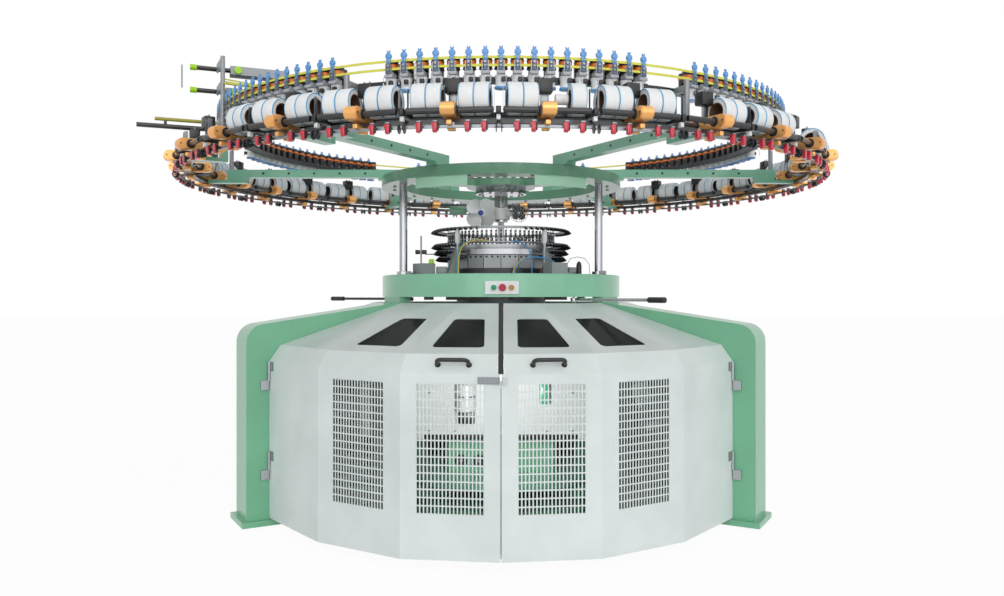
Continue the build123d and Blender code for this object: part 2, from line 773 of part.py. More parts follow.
# A package rests on both rods, flat to flat along the line between their centres
package_rise = ROD_SPACING / 2
package_apothem = hypot(ROD_SPACING / 2, package_rise) - ROD_R - SEAT_GAP
with BuildPart() as package:
    with BuildSketch(Plane.XZ):
        RegularPolygon(package_apothem, PACKAGE_SIDES, major_radius=False, rotation=0)
        RegularPolygon(PACKAGE_BORE_R, PACKAGE_SIDES, mode=Mode.SUBTRACT)
    extrude(amount=PACKAGE_PAIR_WIDTH / 2, both=True)
with BuildPart() as yarn_packages:
    with PolarLocations(UNIT_CIRCLE_R, UNIT_COUNT, start_angle=unit_angle):
        with Locations((0, 0, housing_z + package_rise)):
            with GridLocations(0, 2 * PACKAGE_OFFSET, 1, 2):
                add(package.part)
save(yarn_packages.part, "yarn_packages")

# Stop motion rail hung from the outer rail, with a pair of stop motions on every span
with BuildPart() as stop_motion_rail:
    add(polygon_ring(stop_rail_bore_r, stop_rail_r, stop_rail_low_z, stop_rail_high_z))
    hanger_low_r = rail_r - HANGER_OVERLAP
    with PolarLocations((hanger_low_r + stop_rail_r) / 2, HANGER_COUNT):
        with Locations((0, 0, (stop_rail_high_z + rail_low_z) / 2)):
            Box(stop_rail_r - hanger_low_r, HANGER_WIDTH, rail_low_z - stop_rail_high_z)
save(stop_motion_rail.part, "stop_motion_rail")

with BuildPart() as stop_motions:
    with PolarLocations(stop_rail_r + STOP_SIZE[0] / 2, RAIL_SIDES):
        with Locations((0, 0, stop_low_z + STOP_SIZE[2] / 2)):
            with GridLocations(0, STOP_PITCH, 1, 2):
                Box(*STOP_SIZE)
save(stop_motions.part, "stop_motions")

# Storage feeders on their own rail, left out beside each post
feeder_rail = polygon_ring(
    feeder_rail_bore_r, feeder_rail_r, feeder_rail_low_z, feeder_rail_high_z
)
save(feeder_rail, "feeder_rail")


def beside_post(turn):
    """Whether a feeder at this turn from the front would stand at a post."""
    return any(abs((turn - post + 180) % 360 - 180) < POST_GAP for post in POST_TURNS)


feeder_depth = feeder_front_r - feeder_body_r
head_depth = feeder_front_r - feeder_head_r
drum_centre_r = feeder_rail_r * corner_stretch + SEAT_GAP + FEEDER_DRUM_R
with BuildPart() as feeder:
    with BuildSketch(Plane.XY.offset(feeder_rail_high_z)):
        with Locations((feeder_body_r + feeder_depth / 2, 0)):
            Rectangle(feeder_depth, FEEDER_WIDTH)
    extrude(amount=feeder_body_top_z - feeder_rail_high_z)
    with BuildSketch(Plane.XY.offset(feeder_body_top_z)):
        with Locations((feeder_head_r + head_depth / 2, 0)):
            Rectangle(head_depth, FEEDER_HEAD_WIDTH)
    extrude(amount=feeder_top_z - feeder_body_top_z)
    with BuildSketch(Plane.XY.offset(feeder_rail_high_z)):
        with Locations((drum_centre_r, 0)):
            RegularPolygon(FEEDER_DRUM_R, FEEDER_DRUM_SIDES)
    extrude(amount=-FEEDER_DRUM_HEIGHT)
feeder_turns = [step * FEEDER_PITCH for step in range(int(360 / FEEDER_PITCH))]
feeder_angles = [FRONT + turn for turn in feeder_turns if not beside_post(turn)]
with BuildPart() as yarn_feeders:
    with Locations(*[Location((0, 0, 0), (0, 0, angle)) for angle in feeder_angles]):
        add(feeder.part)
save(yarn_feeders.part, "yarn_feeders")

with BuildPart() as feeder_posts:
    for turn in POST_TURNS:
        angle = FRONT + turn
        with BuildSketch(Plane.XY.offset(arm_high_z)):
            with Locations(unit(angle) * post_circle):
                Circle(POST_R)
        extrude(amount=post_top_z - arm_high_z)
        with BuildSketch(side_plane(angle, feeder_rail_r)):
            with Locations((0, (feeder_rail_low_z + feeder_rail_high_z) / 2)):
                Rectangle(POST_TAB_WIDTH, feeder_rail_high_z - feeder_rail_low_z)
        extrude(amount=post_circle - feeder_rail_r)
save(feeder_posts.part, "feeder_posts")

belt_bore_r = feeder_front_r + SEAT_GAP
with BuildPart() as feeder_belts:
    for level in belt_levels:
        add(polygon_ring(belt_bore_r, belt_bore_r + BELT_THICK, level, level + BELT_HEIGHT))
save(feeder_belts.part, "feeder_belts")

# Belt drive device: radial tubes with end caps, carried by a post and cross plates
side_angle = FRONT + SIDE_TURN
side_post_angle = FRONT + SIDE_POST_TURN
with BuildPart() as side_tubes:
    for inner, outer, height in side_tubes_at:
        with BuildSketch(side_plane(side_angle, inner, height)):
            Circle(SIDE_TUBE_R)
        extrude(amount=outer - inner)
save(side_tubes.part, "side_tubes")

# Tangential plane in front of the tubes, where the radial plates and their pulleys lie
plate_face = radial_plane(side_angle)
plate_back = -(SIDE_TUBE_R + SEAT_GAP)
with BuildPart() as side_caps:
    for inner, outer, height in side_tubes_at[:2]:
        with BuildSketch(side_plane(side_angle, outer, height)):
            Circle(SIDE_CAP_R)
        extrude(amount=SIDE_CAP_LENGTH)
    with BuildSketch(plate_face.offset(plate_back - SIDE_PLATE_THICK)):
        with Locations(*[(plate_end - SIDE_DISC_R * 2, z) for _, plate_end, z in side_plates_at]):
            Circle(SIDE_DISC_R)
    extrude(amount=-SIDE_DISC_THICK)
save(side_caps.part, "side_caps")

post_point = unit(side_post_angle) * side_post_circle
plate_line = unit(side_angle) * side_post_circle - post_point
plate_length = plate_line.length - SIDE_TUBE_R - SEAT_GAP
plate_plane = Plane(origin=post_point, x_dir=plate_line, z_dir=plate_line.cross(Vector(0, 0, 1)))
with BuildPart() as side_brackets:
    with BuildSketch(Plane.XY.offset(arm_high_z)):
        with Locations(post_point):
            Circle(SIDE_POST_R)
    extrude(amount=side_post_top_z - arm_high_z)
    with BuildSketch(plate_plane):
        with Locations(*[(plate_length / 2, height) for _, _, height in side_tubes_at]):
            Rectangle(plate_length, SIDE_PLATE_HEIGHT)
    extrude(amount=SIDE_PLATE_THICK / 2, both=True)
    for inner, outer, height in side_plates_at:
        with BuildSketch(plate_face.offset(plate_back)):
            with Locations(((inner + outer) / 2, height)):
                Rectangle(outer - inner, SIDE_PLATE_HEIGHT)
        extrude(amount=-SIDE_PLATE_THICK)
save(side_brackets.part, "side_brackets")

# Central shaft: flange under the hub, shaft, spindle and the nut that carries the fans
shaft_outline = (
    (0, spoke_low_z),
    (SHAFT_FLANGE_R, spoke_low_z),
    (SHAFT_FLANGE_R, spoke_low_z - SHAFT_FLANGE_HEIGHT),
    (SHAFT_R, spoke_low_z - SHAFT_FLANGE_HEIGHT),
    (SHAFT_R, shaft_shoulder_z),
    (SHAFT_SPINDLE_R, shaft_shoulder_z),
    (SHAFT_SPINDLE_R, carrier_low_z - SEAT_GAP),
    (SHAFT_R, carrier_low_z - SEAT_GAP),
    (SHAFT_R, shaft_end_z),
    (0, shaft_end_z),
)
with BuildPart() as central_shaft:
    with BuildSketch(Plane.XZ):
        with BuildLine():
            Polyline(*shaft_outline, close=True)
        make_face()
    revolve(axis=Axis.Z)
save(central_shaft.part, "central_shaft")

with BuildPart() as fan_carrier:
    with BuildSketch(Plane.XY.offset(carrier_low_z)):
        Circle(CARRIER_R)
    extrude(amount=carrier_high_z - carrier_low_z)
    for x, motor_r, _, _ in (LARGE_FAN, SMALL_FAN):
        with BuildSketch(Plane.XZ):
            with Locations((x, fan_z)):
                Circle(motor_r)
        extrude(amount=FAN_MOTOR_LENGTH)
    with BuildSketch(Plane.YZ.offset(LARGE_FAN[0])):
        with Locations((-FAN_MOTOR_LENGTH / 4, fan_z)):
            Rectangle(FAN_MOTOR_LENGTH / 2, SMALL_FAN[1])
    extrude(amount=SMALL_FAN[0] - LARGE_FAN[0])
    with BuildSketch(Plane.XY.offset(carrier_low_z)):
        Circle(SHAFT_SPINDLE_R + RUNNING_GAP)
    extrude(amount=carrier_high_z - carrier_low_z, mode=Mode.SUBTRACT)
save(fan_carrier.part, "fan_carrier")

for name, (x, _, hub_r, blade_r) in {"large_fan": LARGE_FAN, "small_fan": SMALL_FAN}.items():
    fan_plane = Plane.XZ.offset(FAN_MOTOR_LENGTH + FAN_GAP)
    with BuildPart() as fan:
        with BuildSketch(fan_plane):
            with Locations((x, fan_z)):
                Circle(hub_r)
        extrude(amount=FAN_HUB_LENGTH)
        with BuildSketch(fan_plane.offset(FAN_HUB_LENGTH / 2)):
            with Locations((x, fan_z)):
                with PolarLocations(blade_r / 2, FAN_BLADES):
                    Rectangle(blade_r, FAN_BLADE_WIDTHS[name])
        extrude(amount=FAN_BLADE_THICK)
    save(fan.part, name)

# Knitting head: the needle cylinder with its tricks, seat ring, cams, sinker ring, guide ring
with BuildPart() as needle_cylinder:
    with BuildSketch(Plane.XY.offset(CYLINDER_BOTTOM_Z)):
        Circle(cylinder_r)
        Circle(cylinder_bore_r, mode=Mode.SUBTRACT)
    extrude(amount=cylinder_top_z - CYLINDER_BOTTOM_Z)
    with BuildSketch(Plane.XY.offset(cylinder_top_z - TRICK_LENGTH)):
        with PolarLocations(cylinder_r, TRICK_COUNT):
            Rectangle(2 * TRICK_DEPTH, TRICK_WIDTH)
    extrude(amount=TRICK_LENGTH, mode=Mode.SUBTRACT)
save(needle_cylinder.part, "needle_cylinder")

cam_low_z = bed_top_z + SEAT_RING_HEIGHT
cam_high_z = cam_low_z + CAM_HEIGHT
with BuildPart() as cylinder_seat:
    with BuildSketch(Plane.XY.offset(bed_top_z)):
        Circle(seat_ring_r)
        Circle(HEAD_BORE_R, mode=Mode.SUBTRACT)
    extrude(amount=SEAT_RING_HEIGHT)
save(cylinder_seat.part, "cylinder_seat")

cam_half_angle = 180 / CAM_COUNT
cam_half_back = HEAD_BORE_R * tan(radians(cam_half_angle)) - CAM_SPLIT / 2
cam_half_front = cam_r * tan(radians(cam_half_angle)) - CAM_SPLIT / 2
with BuildPart() as cam_block:
    with BuildSketch(Plane.XY.offset(cam_low_z)):
        with BuildLine():
            Polyline(
                (HEAD_BORE_R, -cam_half_back),
                (cam_r, -cam_half_front),
                (cam_r, cam_half_front),
                (HEAD_BORE_R, cam_half_back),
                close=True,
            )
        make_face()
    extrude(amount=CAM_HEIGHT)
    with BuildSketch(Plane.YZ.offset(cam_r)):
        with Locations((0, cam_high_z - CAM_HOLE_DROP)):
            with GridLocations(CAM_HOLE_PITCH, 0, CAM_HOLES, 1):
                Circle(CAM_HOLE_R)
    extrude(amount=-CAM_HOLE_DEPTH, mode=Mode.SUBTRACT)
cam_angles = [FRONT + cam_half_angle * (2 * step + 1) for step in range(CAM_COUNT)]
with BuildPart() as cam_blocks:
    with Locations(*[Location((0, 0, 0), (0, 0, angle)) for angle in cam_angles]):
        add(cam_block.part)
save(cam_blocks.part, "cam_blocks")

# The sinker ring is turned: a plain band below a cap that narrows to a lip at the needles
sinker_band_z = cam_high_z + SINKER_HEIGHT
sinker_outline = (
    (HEAD_BORE_R, cam_high_z),
    (sinker_r, cam_high_z),
    (sinker_r, sinker_band_z),
    (sinker_cap_r, sinker_band_z),
    (HEAD_BORE_R + SINKER_LIP, sinker_band_z + SINKER_CAP_HEIGHT),
    (HEAD_BORE_R, sinker_band_z + SINKER_CAP_HEIGHT),
)
with BuildPart() as sinker_ring:
    with BuildSketch(Plane.XZ):
        with BuildLine():
            Polyline(*sinker_outline, close=True)
        make_face()
    revolve(axis=Axis.Z)
save(sinker_ring.part, "sinker_ring")

# Tiers of yarn guides run round the head from one front post to the other and leave the
# front open for the hand that threads the needles
guide_post_circle = (GUIDE_RING_R + guide_ring_bore_r) / 2
left_turn, right_turn = GUIDE_POST_TURNS[1:3]
wedge_reach = 2 * GUIDE_RING_R
wedge_points = [unit(FRONT + turn) * wedge_reach for turn in (left_turn, 0, right_turn)]
with BuildPart() as tiers:
    for tier_r, rise in GUIDE_TIERS:
        with BuildSketch(Plane.XY.offset(bed_top_z + rise)):
            Circle(tier_r)
            Circle(tier_r - GUIDE_TIER_BAND, mode=Mode.SUBTRACT)
            with BuildLine():
                Polyline((0, 0), *wedge_points, close=True)
            make_face(mode=Mode.SUBTRACT)
        extrude(amount=GUIDE_TIER_THICK)
with BuildPart() as yarn_guide_ring:
    with BuildSketch(Plane.XY.offset(guide_ring_z)):
        Circle(GUIDE_RING_R)
        Circle(guide_ring_bore_r, mode=Mode.SUBTRACT)
    extrude(amount=GUIDE_RING_THICK)
    with BuildSketch(Plane.XY.offset(bed_top_z)):
        with Locations(*[unit(FRONT + turn) * guide_post_circle for turn in GUIDE_POST_TURNS]):
            Circle(GUIDE_POST_R)
    extrude(amount=guide_ring_z - bed_top_z)
    for turn in GUIDE_POST_TURNS:
        with BuildSketch(radial_plane(FRONT + turn, bed_top_z)):
            with BuildLine():
                Polyline(
                    (guide_post_circle, 0),
                    (guide_post_circle + GUSSET_REACH, 0),
                    (guide_post_circle, GUSSET_HEIGHT),
                    close=True,
                )
            make_face()
        extrude(amount=GUSSET_THICK / 2, both=True)
    add(tiers.part)
save(yarn_guide_ring.part, "yarn_guide_ring")

with BuildPart() as valve_boxes:
    for turn in VALVE_BOX_TURNS:
        with BuildSketch(side_plane(FRONT + turn, VALVE_BOX_CIRCLE, bed_top_z)):
            with Locations((0, VALVE_BOX[2] / 2)):
                Rectangle(VALVE_BOX[0], VALVE_BOX[2])
        extrude(amount=VALVE_BOX[1])
save(valve_boxes.part, "valve_boxes")

# Hand levers: an eye on the bed's pin, a round rod and a grip on its end
for name, angle in LEVER_ANGLES.items():
    pivot = unit(angle) * LEVER_PIVOT_R
    rod_plane = side_plane(angle, LEVER_PIVOT_R, LEVER_Z)
    with BuildPart() as lever:
        with BuildSketch(rod_plane):
            Circle(LEVER_R)
        extrude(amount=LEVER_END_R - LEVER_PIVOT_R)
        with BuildSketch(Plane.XY.offset(LEVER_Z - LEVER_EYE_HEIGHT / 2)):
            with Locations(pivot):
                Circle(LEVER_EYE_R)
        extrude(amount=LEVER_EYE_HEIGHT)
        with BuildSketch(Plane.XY.offset(LEVER_Z - LEVER_EYE_HEIGHT / 2)):
            with Locations(pivot):
                Circle(LEVER_PIN_R + RUNNING_GAP)
        extrude(amount=LEVER_EYE_HEIGHT, mode=Mode.SUBTRACT)
    save(lever.part, name)
    with BuildPart() as grip:
        with BuildSketch(side_plane(angle, LEVER_END_R, LEVER_Z)):
            Circle(GRIP_R)
        extrude(amount=GRIP_LENGTH)
        fillet(grip.edges().filter_by(GeomType.CIRCLE), GRIP_R / 3)
    save(grip.part, f"{name}_grip")

# Take-down: turntable, gearbox, side sheets hung from a ring, two nip rollers, cloth roller
upright_low_z = HUB_HEIGHT + TURNTABLE_THICK
side_sheet_low_z = SIDE_SHEET_OUTLINE[0][1]
with BuildPart() as turntable:
    with BuildSketch(Plane.XY.offset(HUB_HEIGHT)):
        Circle(TURNTABLE_R)
    extrude(amount=TURNTABLE_THICK)
    with BuildSketch(Plane.XY.offset(upright_low_z)):
        with GridLocations(2 * UPRIGHT_X, 2 * SIDE_SHEET_Y + SIDE_SHEET_THICK, 2, 2):
            Rectangle(*UPRIGHT)
    extrude(amount=side_sheet_low_z - upright_low_z)
save(turntable.part, "turntable")

with BuildPart() as gearbox:
    with BuildSketch(Plane.XY.offset(upright_low_z)):
        RectangleRounded(GEARBOX[0], GEARBOX[1], GEARBOX_EDGE_R)
    extrude(amount=GEARBOX[2])
    fillet(gearbox.faces().sort_by(Axis.Z)[-1].edges(), GEARBOX_EDGE_R / 2)
    with BuildSketch(Plane.XZ.offset(GEARBOX[1] / 2)):
        with Locations(*[(x, upright_low_z + GEARBOX[2] / 2) for x in GEARBOX_COVER_X]):
            Circle(GEARBOX_COVER_R)
    extrude(amount=GEARBOX_COVER_THICK)
save(gearbox.part, "gearbox")

roller_offset = ROLLER_R + ROLLER_NIP / 2
rollers = {
    "left_takedown_roller": (-roller_offset, ROLLER_Z, ROLLER_R),
    "right_takedown_roller": (roller_offset, ROLLER_Z, ROLLER_R),
    "cloth_roller": (0, CLOTH_ROLLER_Z, CLOTH_ROLLER_R),
}
half_outline = list(SIDE_SHEET_OUTLINE)
sheet_outline = half_outline + [(-x, z) for x, z in reversed(half_outline)]
with BuildPart() as takedown_frame:
    with BuildSketch(Plane.XY.offset(CYLINDER_BOTTOM_Z)):
        Circle(TAKEDOWN_RING_R)
        Circle(TAKEDOWN_RING_BORE_R, mode=Mode.SUBTRACT)
    extrude(amount=-TAKEDOWN_RING_THICK)
    for sheet_plane in (Plane.XZ.offset(SIDE_SHEET_Y), Plane.XZ.offset(-SIDE_SHEET_Y - SIDE_SHEET_THICK)):
        with BuildSketch(sheet_plane) as side_sheet:
            with BuildLine():
                Polyline(*sheet_outline, close=True)
            make_face()
            fillet(side_sheet.vertices().group_by(Axis.Y)[1:-1][0], SIDE_SHEET_CORNER_R)
            with Locations(*[(x, z) for x, z, _ in rollers.values()]):
                Circle(JOURNAL_R + RUNNING_GAP, mode=Mode.SUBTRACT)
        extrude(amount=SIDE_SHEET_THICK)
save(takedown_frame.part, "takedown_frame")

roller_half = SIDE_SHEET_Y - ROLLER_END_GAP
journal_half = SIDE_SHEET_Y + SIDE_SHEET_THICK
for name, (x, z, radius) in rollers.items():
    with BuildPart() as roller:
        with BuildSketch(Plane.XZ):
            with Locations((x, z)):
                Circle(radius)
        extrude(amount=roller_half, both=True)
        with BuildSketch(Plane.XZ):
            with Locations((x, z)):
                Circle(JOURNAL_R)
        extrude(amount=journal_half, both=True)
    save(roller.part, name)

# Drive motor: a vertical body on a plate bolted to the rear side of the right leg
motor_angle = LEG_ANGLES[1]
motor_face = radial_plane(motor_angle)
with BuildPart() as drive_motor:
    with BuildSketch(motor_face.offset(-LEG_WIDTH / 2)):
        with Locations((MOTOR_CIRCLE, MOTOR_LOW_Z + MOTOR_HEIGHT / 2)):
            Rectangle(2 * MOTOR_R, MOTOR_HEIGHT)
    extrude(amount=-MOTOR_STANDOFF + MOTOR_R / 2)
    motor_point = unit(motor_angle) * MOTOR_CIRCLE + unit(motor_angle + 90) * (
        LEG_WIDTH / 2 + MOTOR_STANDOFF
    )
    with BuildSketch(Plane.XY.offset(MOTOR_LOW_Z - MOTOR_PLATE)):
        with Locations(motor_point):
            Circle(MOTOR_R)
    extrude(amount=MOTOR_HEIGHT + 2 * MOTOR_PLATE)
save(drive_motor.part, "drive_motor")

# Doors, their grilles, handles, hinges, seal and latch
door_gaps = (LEAF_SIDE_GAP, SEAM_GAP, SEAM_GAP_ROOF)
door_panels = leaf_panels(*door_gaps)
left_leaf = folded_leaf(*door_gaps)
save(left_leaf, "left_door")
save(mirrored(left_leaf), "right_door")
left_grilles = leaf_grilles(*door_gaps, GRILLE_COLUMNS, GRILLE_SLOT_WIDTH)
save(left_grilles, "left_door_grilles")
save(mirrored(left_grilles), "right_door_grilles")

# Fixed guards of the same form close the other two openings, flat against the legs
guard_half = folded_leaf(0, 0, 0)
other_guard_half = mirrored(guard_half)
guard_grille_half = leaf_grilles(0, 0, 0, GUARD_COLUMNS, GUARD_SLOT_WIDTH)
other_grille_half = mirrored(guard_grille_half)
guard_places = [Location((0, 0, 0), (0, 0, turn)) for turn in (120, -120)]
with BuildPart() as rear_guards:
    with Locations(*guard_places):
        add(guard_half)
        add(other_guard_half)
save(rear_guards.part, "rear_guards")
with BuildPart() as guard_grilles:
    with Locations(*guard_places):
        add(guard_grille_half)
        add(other_grille_half)
save(guard_grilles.part, "guard_grilles")

# Bow handle on the leaning band of the facet beside the seam
seam_facet = len(DOOR_CORNERS) - 2
band = door_panels["band", seam_facet]
band_plane = panel_plane(band)
handle_middle = (band[1] - band[0]).length - HANDLE_FROM_SEAM + HANDLE_SPAN / 2
handle_ends = (handle_middle - HANDLE_SPAN / 2, handle_middle + HANDLE_SPAN / 2)
handle_points = [
    band_plane.from_local_coords((x, HANDLE_UP, z))
    for x, z in (
        (handle_ends[0], 0),
        (handle_ends[0], HANDLE_REACH),
        (handle_ends[1], HANDLE_REACH),
        (handle_ends[1], 0),
    )
]
with BuildPart() as handle:
    with BuildLine() as handle_path:
        FilletPolyline(*handle_points, radius=HANDLE_BEND_R)
    with BuildSketch(Plane(origin=handle_points[0], z_dir=band_plane.z_dir)):
        Circle(HANDLE_R)
    sweep(path=handle_path.line)
save(handle.part, "left_handle")
save(mirrored(handle.part), "right_handle")

# Hinges: a stand-off with a pin on the leg, and a knuckle with a plate on the door
hinge_rise = HINGE_R + SEAT_GAP
hinge_axis = meet(leg_side_line(HINGE_STANDOFF), facet_line(0, -hinge_rise))
facet_along = facet_line(0, 0)[1]
facet_out = Vector(facet_along.Y, -facet_along.X, 0)
leg_out = unit(FRONT - LEG_SPREAD)
leg_front = unit(FRONT - LEG_SPREAD + 90)
knuckle_height = HINGE_HEIGHT / 2
with BuildPart() as hinge_posts:
    for level in HINGE_LEVELS:
        with BuildSketch(Plane.XY.offset(level)):
            with Locations(hinge_axis):
                Circle(HINGE_R)
        extrude(amount=knuckle_height)
        stand = Plane(origin=raised(hinge_axis, level), x_dir=leg_out, z_dir=leg_front)
        with BuildSketch(stand.offset(-HINGE_STANDOFF)):
            with Locations((HINGE_PLATE / 2, knuckle_height / 2)):
                Rectangle(HINGE_PLATE, knuckle_height)
        extrude(amount=HINGE_STANDOFF)
        with BuildSketch(Plane.XY.offset(level + knuckle_height)):
            with Locations(hinge_axis):
                Circle(HINGE_PIN_R)
        extrude(amount=knuckle_height)
right_hinge_posts = mirrored(hinge_posts.part)
with BuildPart() as both_hinge_posts:
    add(hinge_posts.part)
    add(right_hinge_posts)
save(both_hinge_posts.part, "hinge_posts")

knuckle_low = knuckle_height + SEAT_GAP
with BuildPart() as hinge_knuckles:
    for level in HINGE_LEVELS:
        with BuildSketch(Plane.XY.offset(level + knuckle_low)):
            with Locations(hinge_axis):
                Circle(HINGE_R)
        extrude(amount=knuckle_height - SEAT_GAP)
        plate = Plane(origin=raised(hinge_axis, level), x_dir=facet_along, z_dir=facet_out)
        with BuildSketch(plate.offset(-hinge_rise)):
            with Locations((HINGE_PLATE / 2, (HINGE_HEIGHT + knuckle_low) / 2)):
                Rectangle(HINGE_PLATE, HINGE_HEIGHT - knuckle_low)
        extrude(amount=HINGE_PLATE_THICK)
        with BuildSketch(Plane.XY.offset(level + knuckle_low)):
            with Locations(hinge_axis):
                Circle(HINGE_PIN_R + RUNNING_GAP)
        extrude(amount=knuckle_height - SEAT_GAP, mode=Mode.SUBTRACT)
save(hinge_knuckles.part, "left_hinge_knuckles")
save(mirrored(hinge_knuckles.part), "right_hinge_knuckles")

# Rubber seal that fills the wider seam along the roof and the band
seal_foot = (band[1].Y, LEAF_FOLD_Z + SEAT_GAP)
seal_outer = [(point.Y, point.Z) for point in (band[2], door_panels["roof", seam_facet][2])]
seal_inner = [(y + SEAL_THICK, z - SEAL_THICK) for y, z in reversed(seal_outer)]
seal_inner.append((seal_foot[0] + SEAL_THICK, seal_foot[1]))
with BuildPart() as seam_seal:
    with BuildSketch(Plane.YZ.offset(-SEAM_GAP_ROOF + SEAT_GAP)):
        with BuildLine():
            Polyline(seal_foot, *seal_outer, *seal_inner, close=True)
        make_face()
    extrude(amount=SEAM_GAP_ROOF + SEAL_HALF - SEAT_GAP)
save(seam_seal.part, "seam_seal")

# Slide latch: plate with two bridges on the left leaf, bolt, keeper on the right leaf
wall = door_panels["wall", seam_facet]
latch_plane = panel_plane(wall)
latch_end = (wall[1] - wall[0]).length - LATCH_FROM_SEAM
latch_y = LATCH_Z - LEAF_BOTTOM_Z
bolt_length, bolt_height, bolt_thick = LATCH_BOLT
bolt_low = LATCH_PLATE_THICK + LATCH_GAP
bridge_height = bolt_low + bolt_thick + LATCH_GAP + LATCH_BRIDGE_THICK
bridge_places = (latch_end - LATCH_LENGTH + LATCH_BRIDGE, latch_end - LATCH_BRIDGE)


def bridge(plane, places, height, clear_height, clear_width):
    """Strap bridges that stand on a plane and leave a slot for the bolt."""
    with BuildPart() as straps:
        with BuildSketch(plane):
            with Locations(*places):
                Rectangle(LATCH_BRIDGE, clear_width + 2 * LATCH_BRIDGE_THICK)
        extrude(amount=height)
        with BuildSketch(plane):
            with Locations(*places):
                Rectangle(LATCH_BRIDGE, clear_width)
        extrude(amount=clear_height, mode=Mode.SUBTRACT)
    return straps.part


slot_width = bolt_height + 2 * LATCH_GAP
bridges = bridge(
    latch_plane.offset(LATCH_PLATE_THICK),
    [(x, latch_y) for x in bridge_places],
    bridge_height - LATCH_PLATE_THICK,
    bridge_height - LATCH_PLATE_THICK - LATCH_BRIDGE_THICK,
    slot_width,
)
with BuildPart() as latch_plate:
    with BuildSketch(latch_plane):
        with Locations((latch_end - LATCH_LENGTH / 2, latch_y)):
            Rectangle(LATCH_LENGTH, LATCH_HEIGHT)
    extrude(amount=LATCH_PLATE_THICK)
    add(bridges)
save(latch_plate.part, "latch_plate")

with BuildPart() as latch_bolt:
    with BuildSketch(latch_plane.offset(bolt_low)):
        with Locations((latch_end - bolt_length / 2, latch_y)):
            Rectangle(bolt_length, bolt_height)
    extrude(amount=bolt_thick)
save(latch_bolt.part, "latch_bolt")

# The keeper stands on the right leaf, whose facet turns away from the bolt's line
keeper_clear = bolt_low + bolt_thick + KEEPER_GAP
keeper = bridge(
    latch_plane,
    [(latch_end - LATCH_BRIDGE / 2, latch_y)],
    keeper_clear + LATCH_BRIDGE_THICK,
    keeper_clear,
    slot_width + 2,
)
save(mirrored(keeper), "latch_keeper")
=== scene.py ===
# %% [markdown]
# A large circular knitting machine, dressed cell by cell
#
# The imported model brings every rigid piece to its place. This lesson sets the camera and the
# light, mixes the finishes, and then adds the detail that a bench drawing leaves out: wound
# yarn, slotted sheet, needles, belts and hoses. All lengths are in metres, +Z is up, and the
# front of the machine looks towards -Y.

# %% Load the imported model
from math import cos, degrees, pi, radians, sin

import bmesh
import bpy
from mathutils import Matrix, Vector


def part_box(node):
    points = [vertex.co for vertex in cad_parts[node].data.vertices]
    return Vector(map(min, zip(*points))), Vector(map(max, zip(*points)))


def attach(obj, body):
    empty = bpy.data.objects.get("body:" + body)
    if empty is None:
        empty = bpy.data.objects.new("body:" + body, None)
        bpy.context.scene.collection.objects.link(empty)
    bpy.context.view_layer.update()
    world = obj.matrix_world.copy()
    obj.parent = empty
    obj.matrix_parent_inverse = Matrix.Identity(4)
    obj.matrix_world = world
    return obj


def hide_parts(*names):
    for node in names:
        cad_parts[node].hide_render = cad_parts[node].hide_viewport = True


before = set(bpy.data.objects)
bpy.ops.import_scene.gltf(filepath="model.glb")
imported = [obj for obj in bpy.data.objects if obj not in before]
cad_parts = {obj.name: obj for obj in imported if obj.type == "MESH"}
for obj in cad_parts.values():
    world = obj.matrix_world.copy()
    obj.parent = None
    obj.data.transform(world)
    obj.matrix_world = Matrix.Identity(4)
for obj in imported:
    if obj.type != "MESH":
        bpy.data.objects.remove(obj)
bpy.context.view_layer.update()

# %% [markdown]
# The camera stands in front of the machine at about the height of its bed and looks straight
# at it, so that upright edges stay upright. A tilted camera would be simpler to aim, but it
# would lean the legs. Instead a small shift puts the horizon where the photograph has it, and
# the focal length comes from the width of the picture in pixels.

# %% Camera
PICTURE_WIDTH = 1004
PICTURE_HEIGHT = 596
FOCAL_PIXELS = 849
HORIZON_PIXEL = 295
AXIS_PIXEL = 501
SENSOR_WIDTH = 36
CAMERA_DISTANCE = 5.03
CAMERA_HEIGHT = 1.16

camera_data = bpy.data.cameras.new("camera")
camera_data.sensor_fit = "HORIZONTAL"
camera_data.sensor_width = SENSOR_WIDTH
camera_data.lens = SENSOR_WIDTH * FOCAL_PIXELS / PICTURE_WIDTH
camera_data.shift_x = (PICTURE_WIDTH / 2 - AXIS_PIXEL) / PICTURE_WIDTH
camera_data.shift_y = (HORIZON_PIXEL - PICTURE_HEIGHT / 2) / PICTURE_WIDTH
camera = bpy.data.objects.new("camera", camera_data)
camera.location = (0, -CAMERA_DISTANCE, CAMERA_HEIGHT)
camera.rotation_euler = (radians(90), 0, 0)
bpy.context.scene.collection.objects.link(camera)
bpy.context.scene.camera = camera
bpy.context.scene.view_settings.view_transform = "Standard"
print("lens", round(camera_data.lens, 1), "mm")

# %% [markdown]
# Studio light for a machine catalogue is wide and even. The world fills the shadows: it is
# bright near the horizon and dimmer overhead, so sloping tops read darker than upright fronts.
# The lens, mirrors and glass see plain white instead. One factor tells those rays from the
# rest, and the floor uses it again.


# %% World
def link(tree, source, target):
    """Joins an output socket to an input socket."""
    tree.links.new(source, target)


def plain_view(tree):
    """A factor that is 1 for a ray from the lens, off a mirror or through glass."""
    rays = tree.nodes.new("ShaderNodeLightPath")
    result = rays.outputs["Is Camera Ray"]
    for kind in ("Is Glossy Ray", "Is Transmission Ray"):
        larger = tree.nodes.new("ShaderNodeMath")
        larger.operation = "MAXIMUM"
        link(tree, result, larger.inputs[0])
        link(tree, rays.outputs[kind], larger.inputs[1])
        result = larger.outputs[0]
    return result


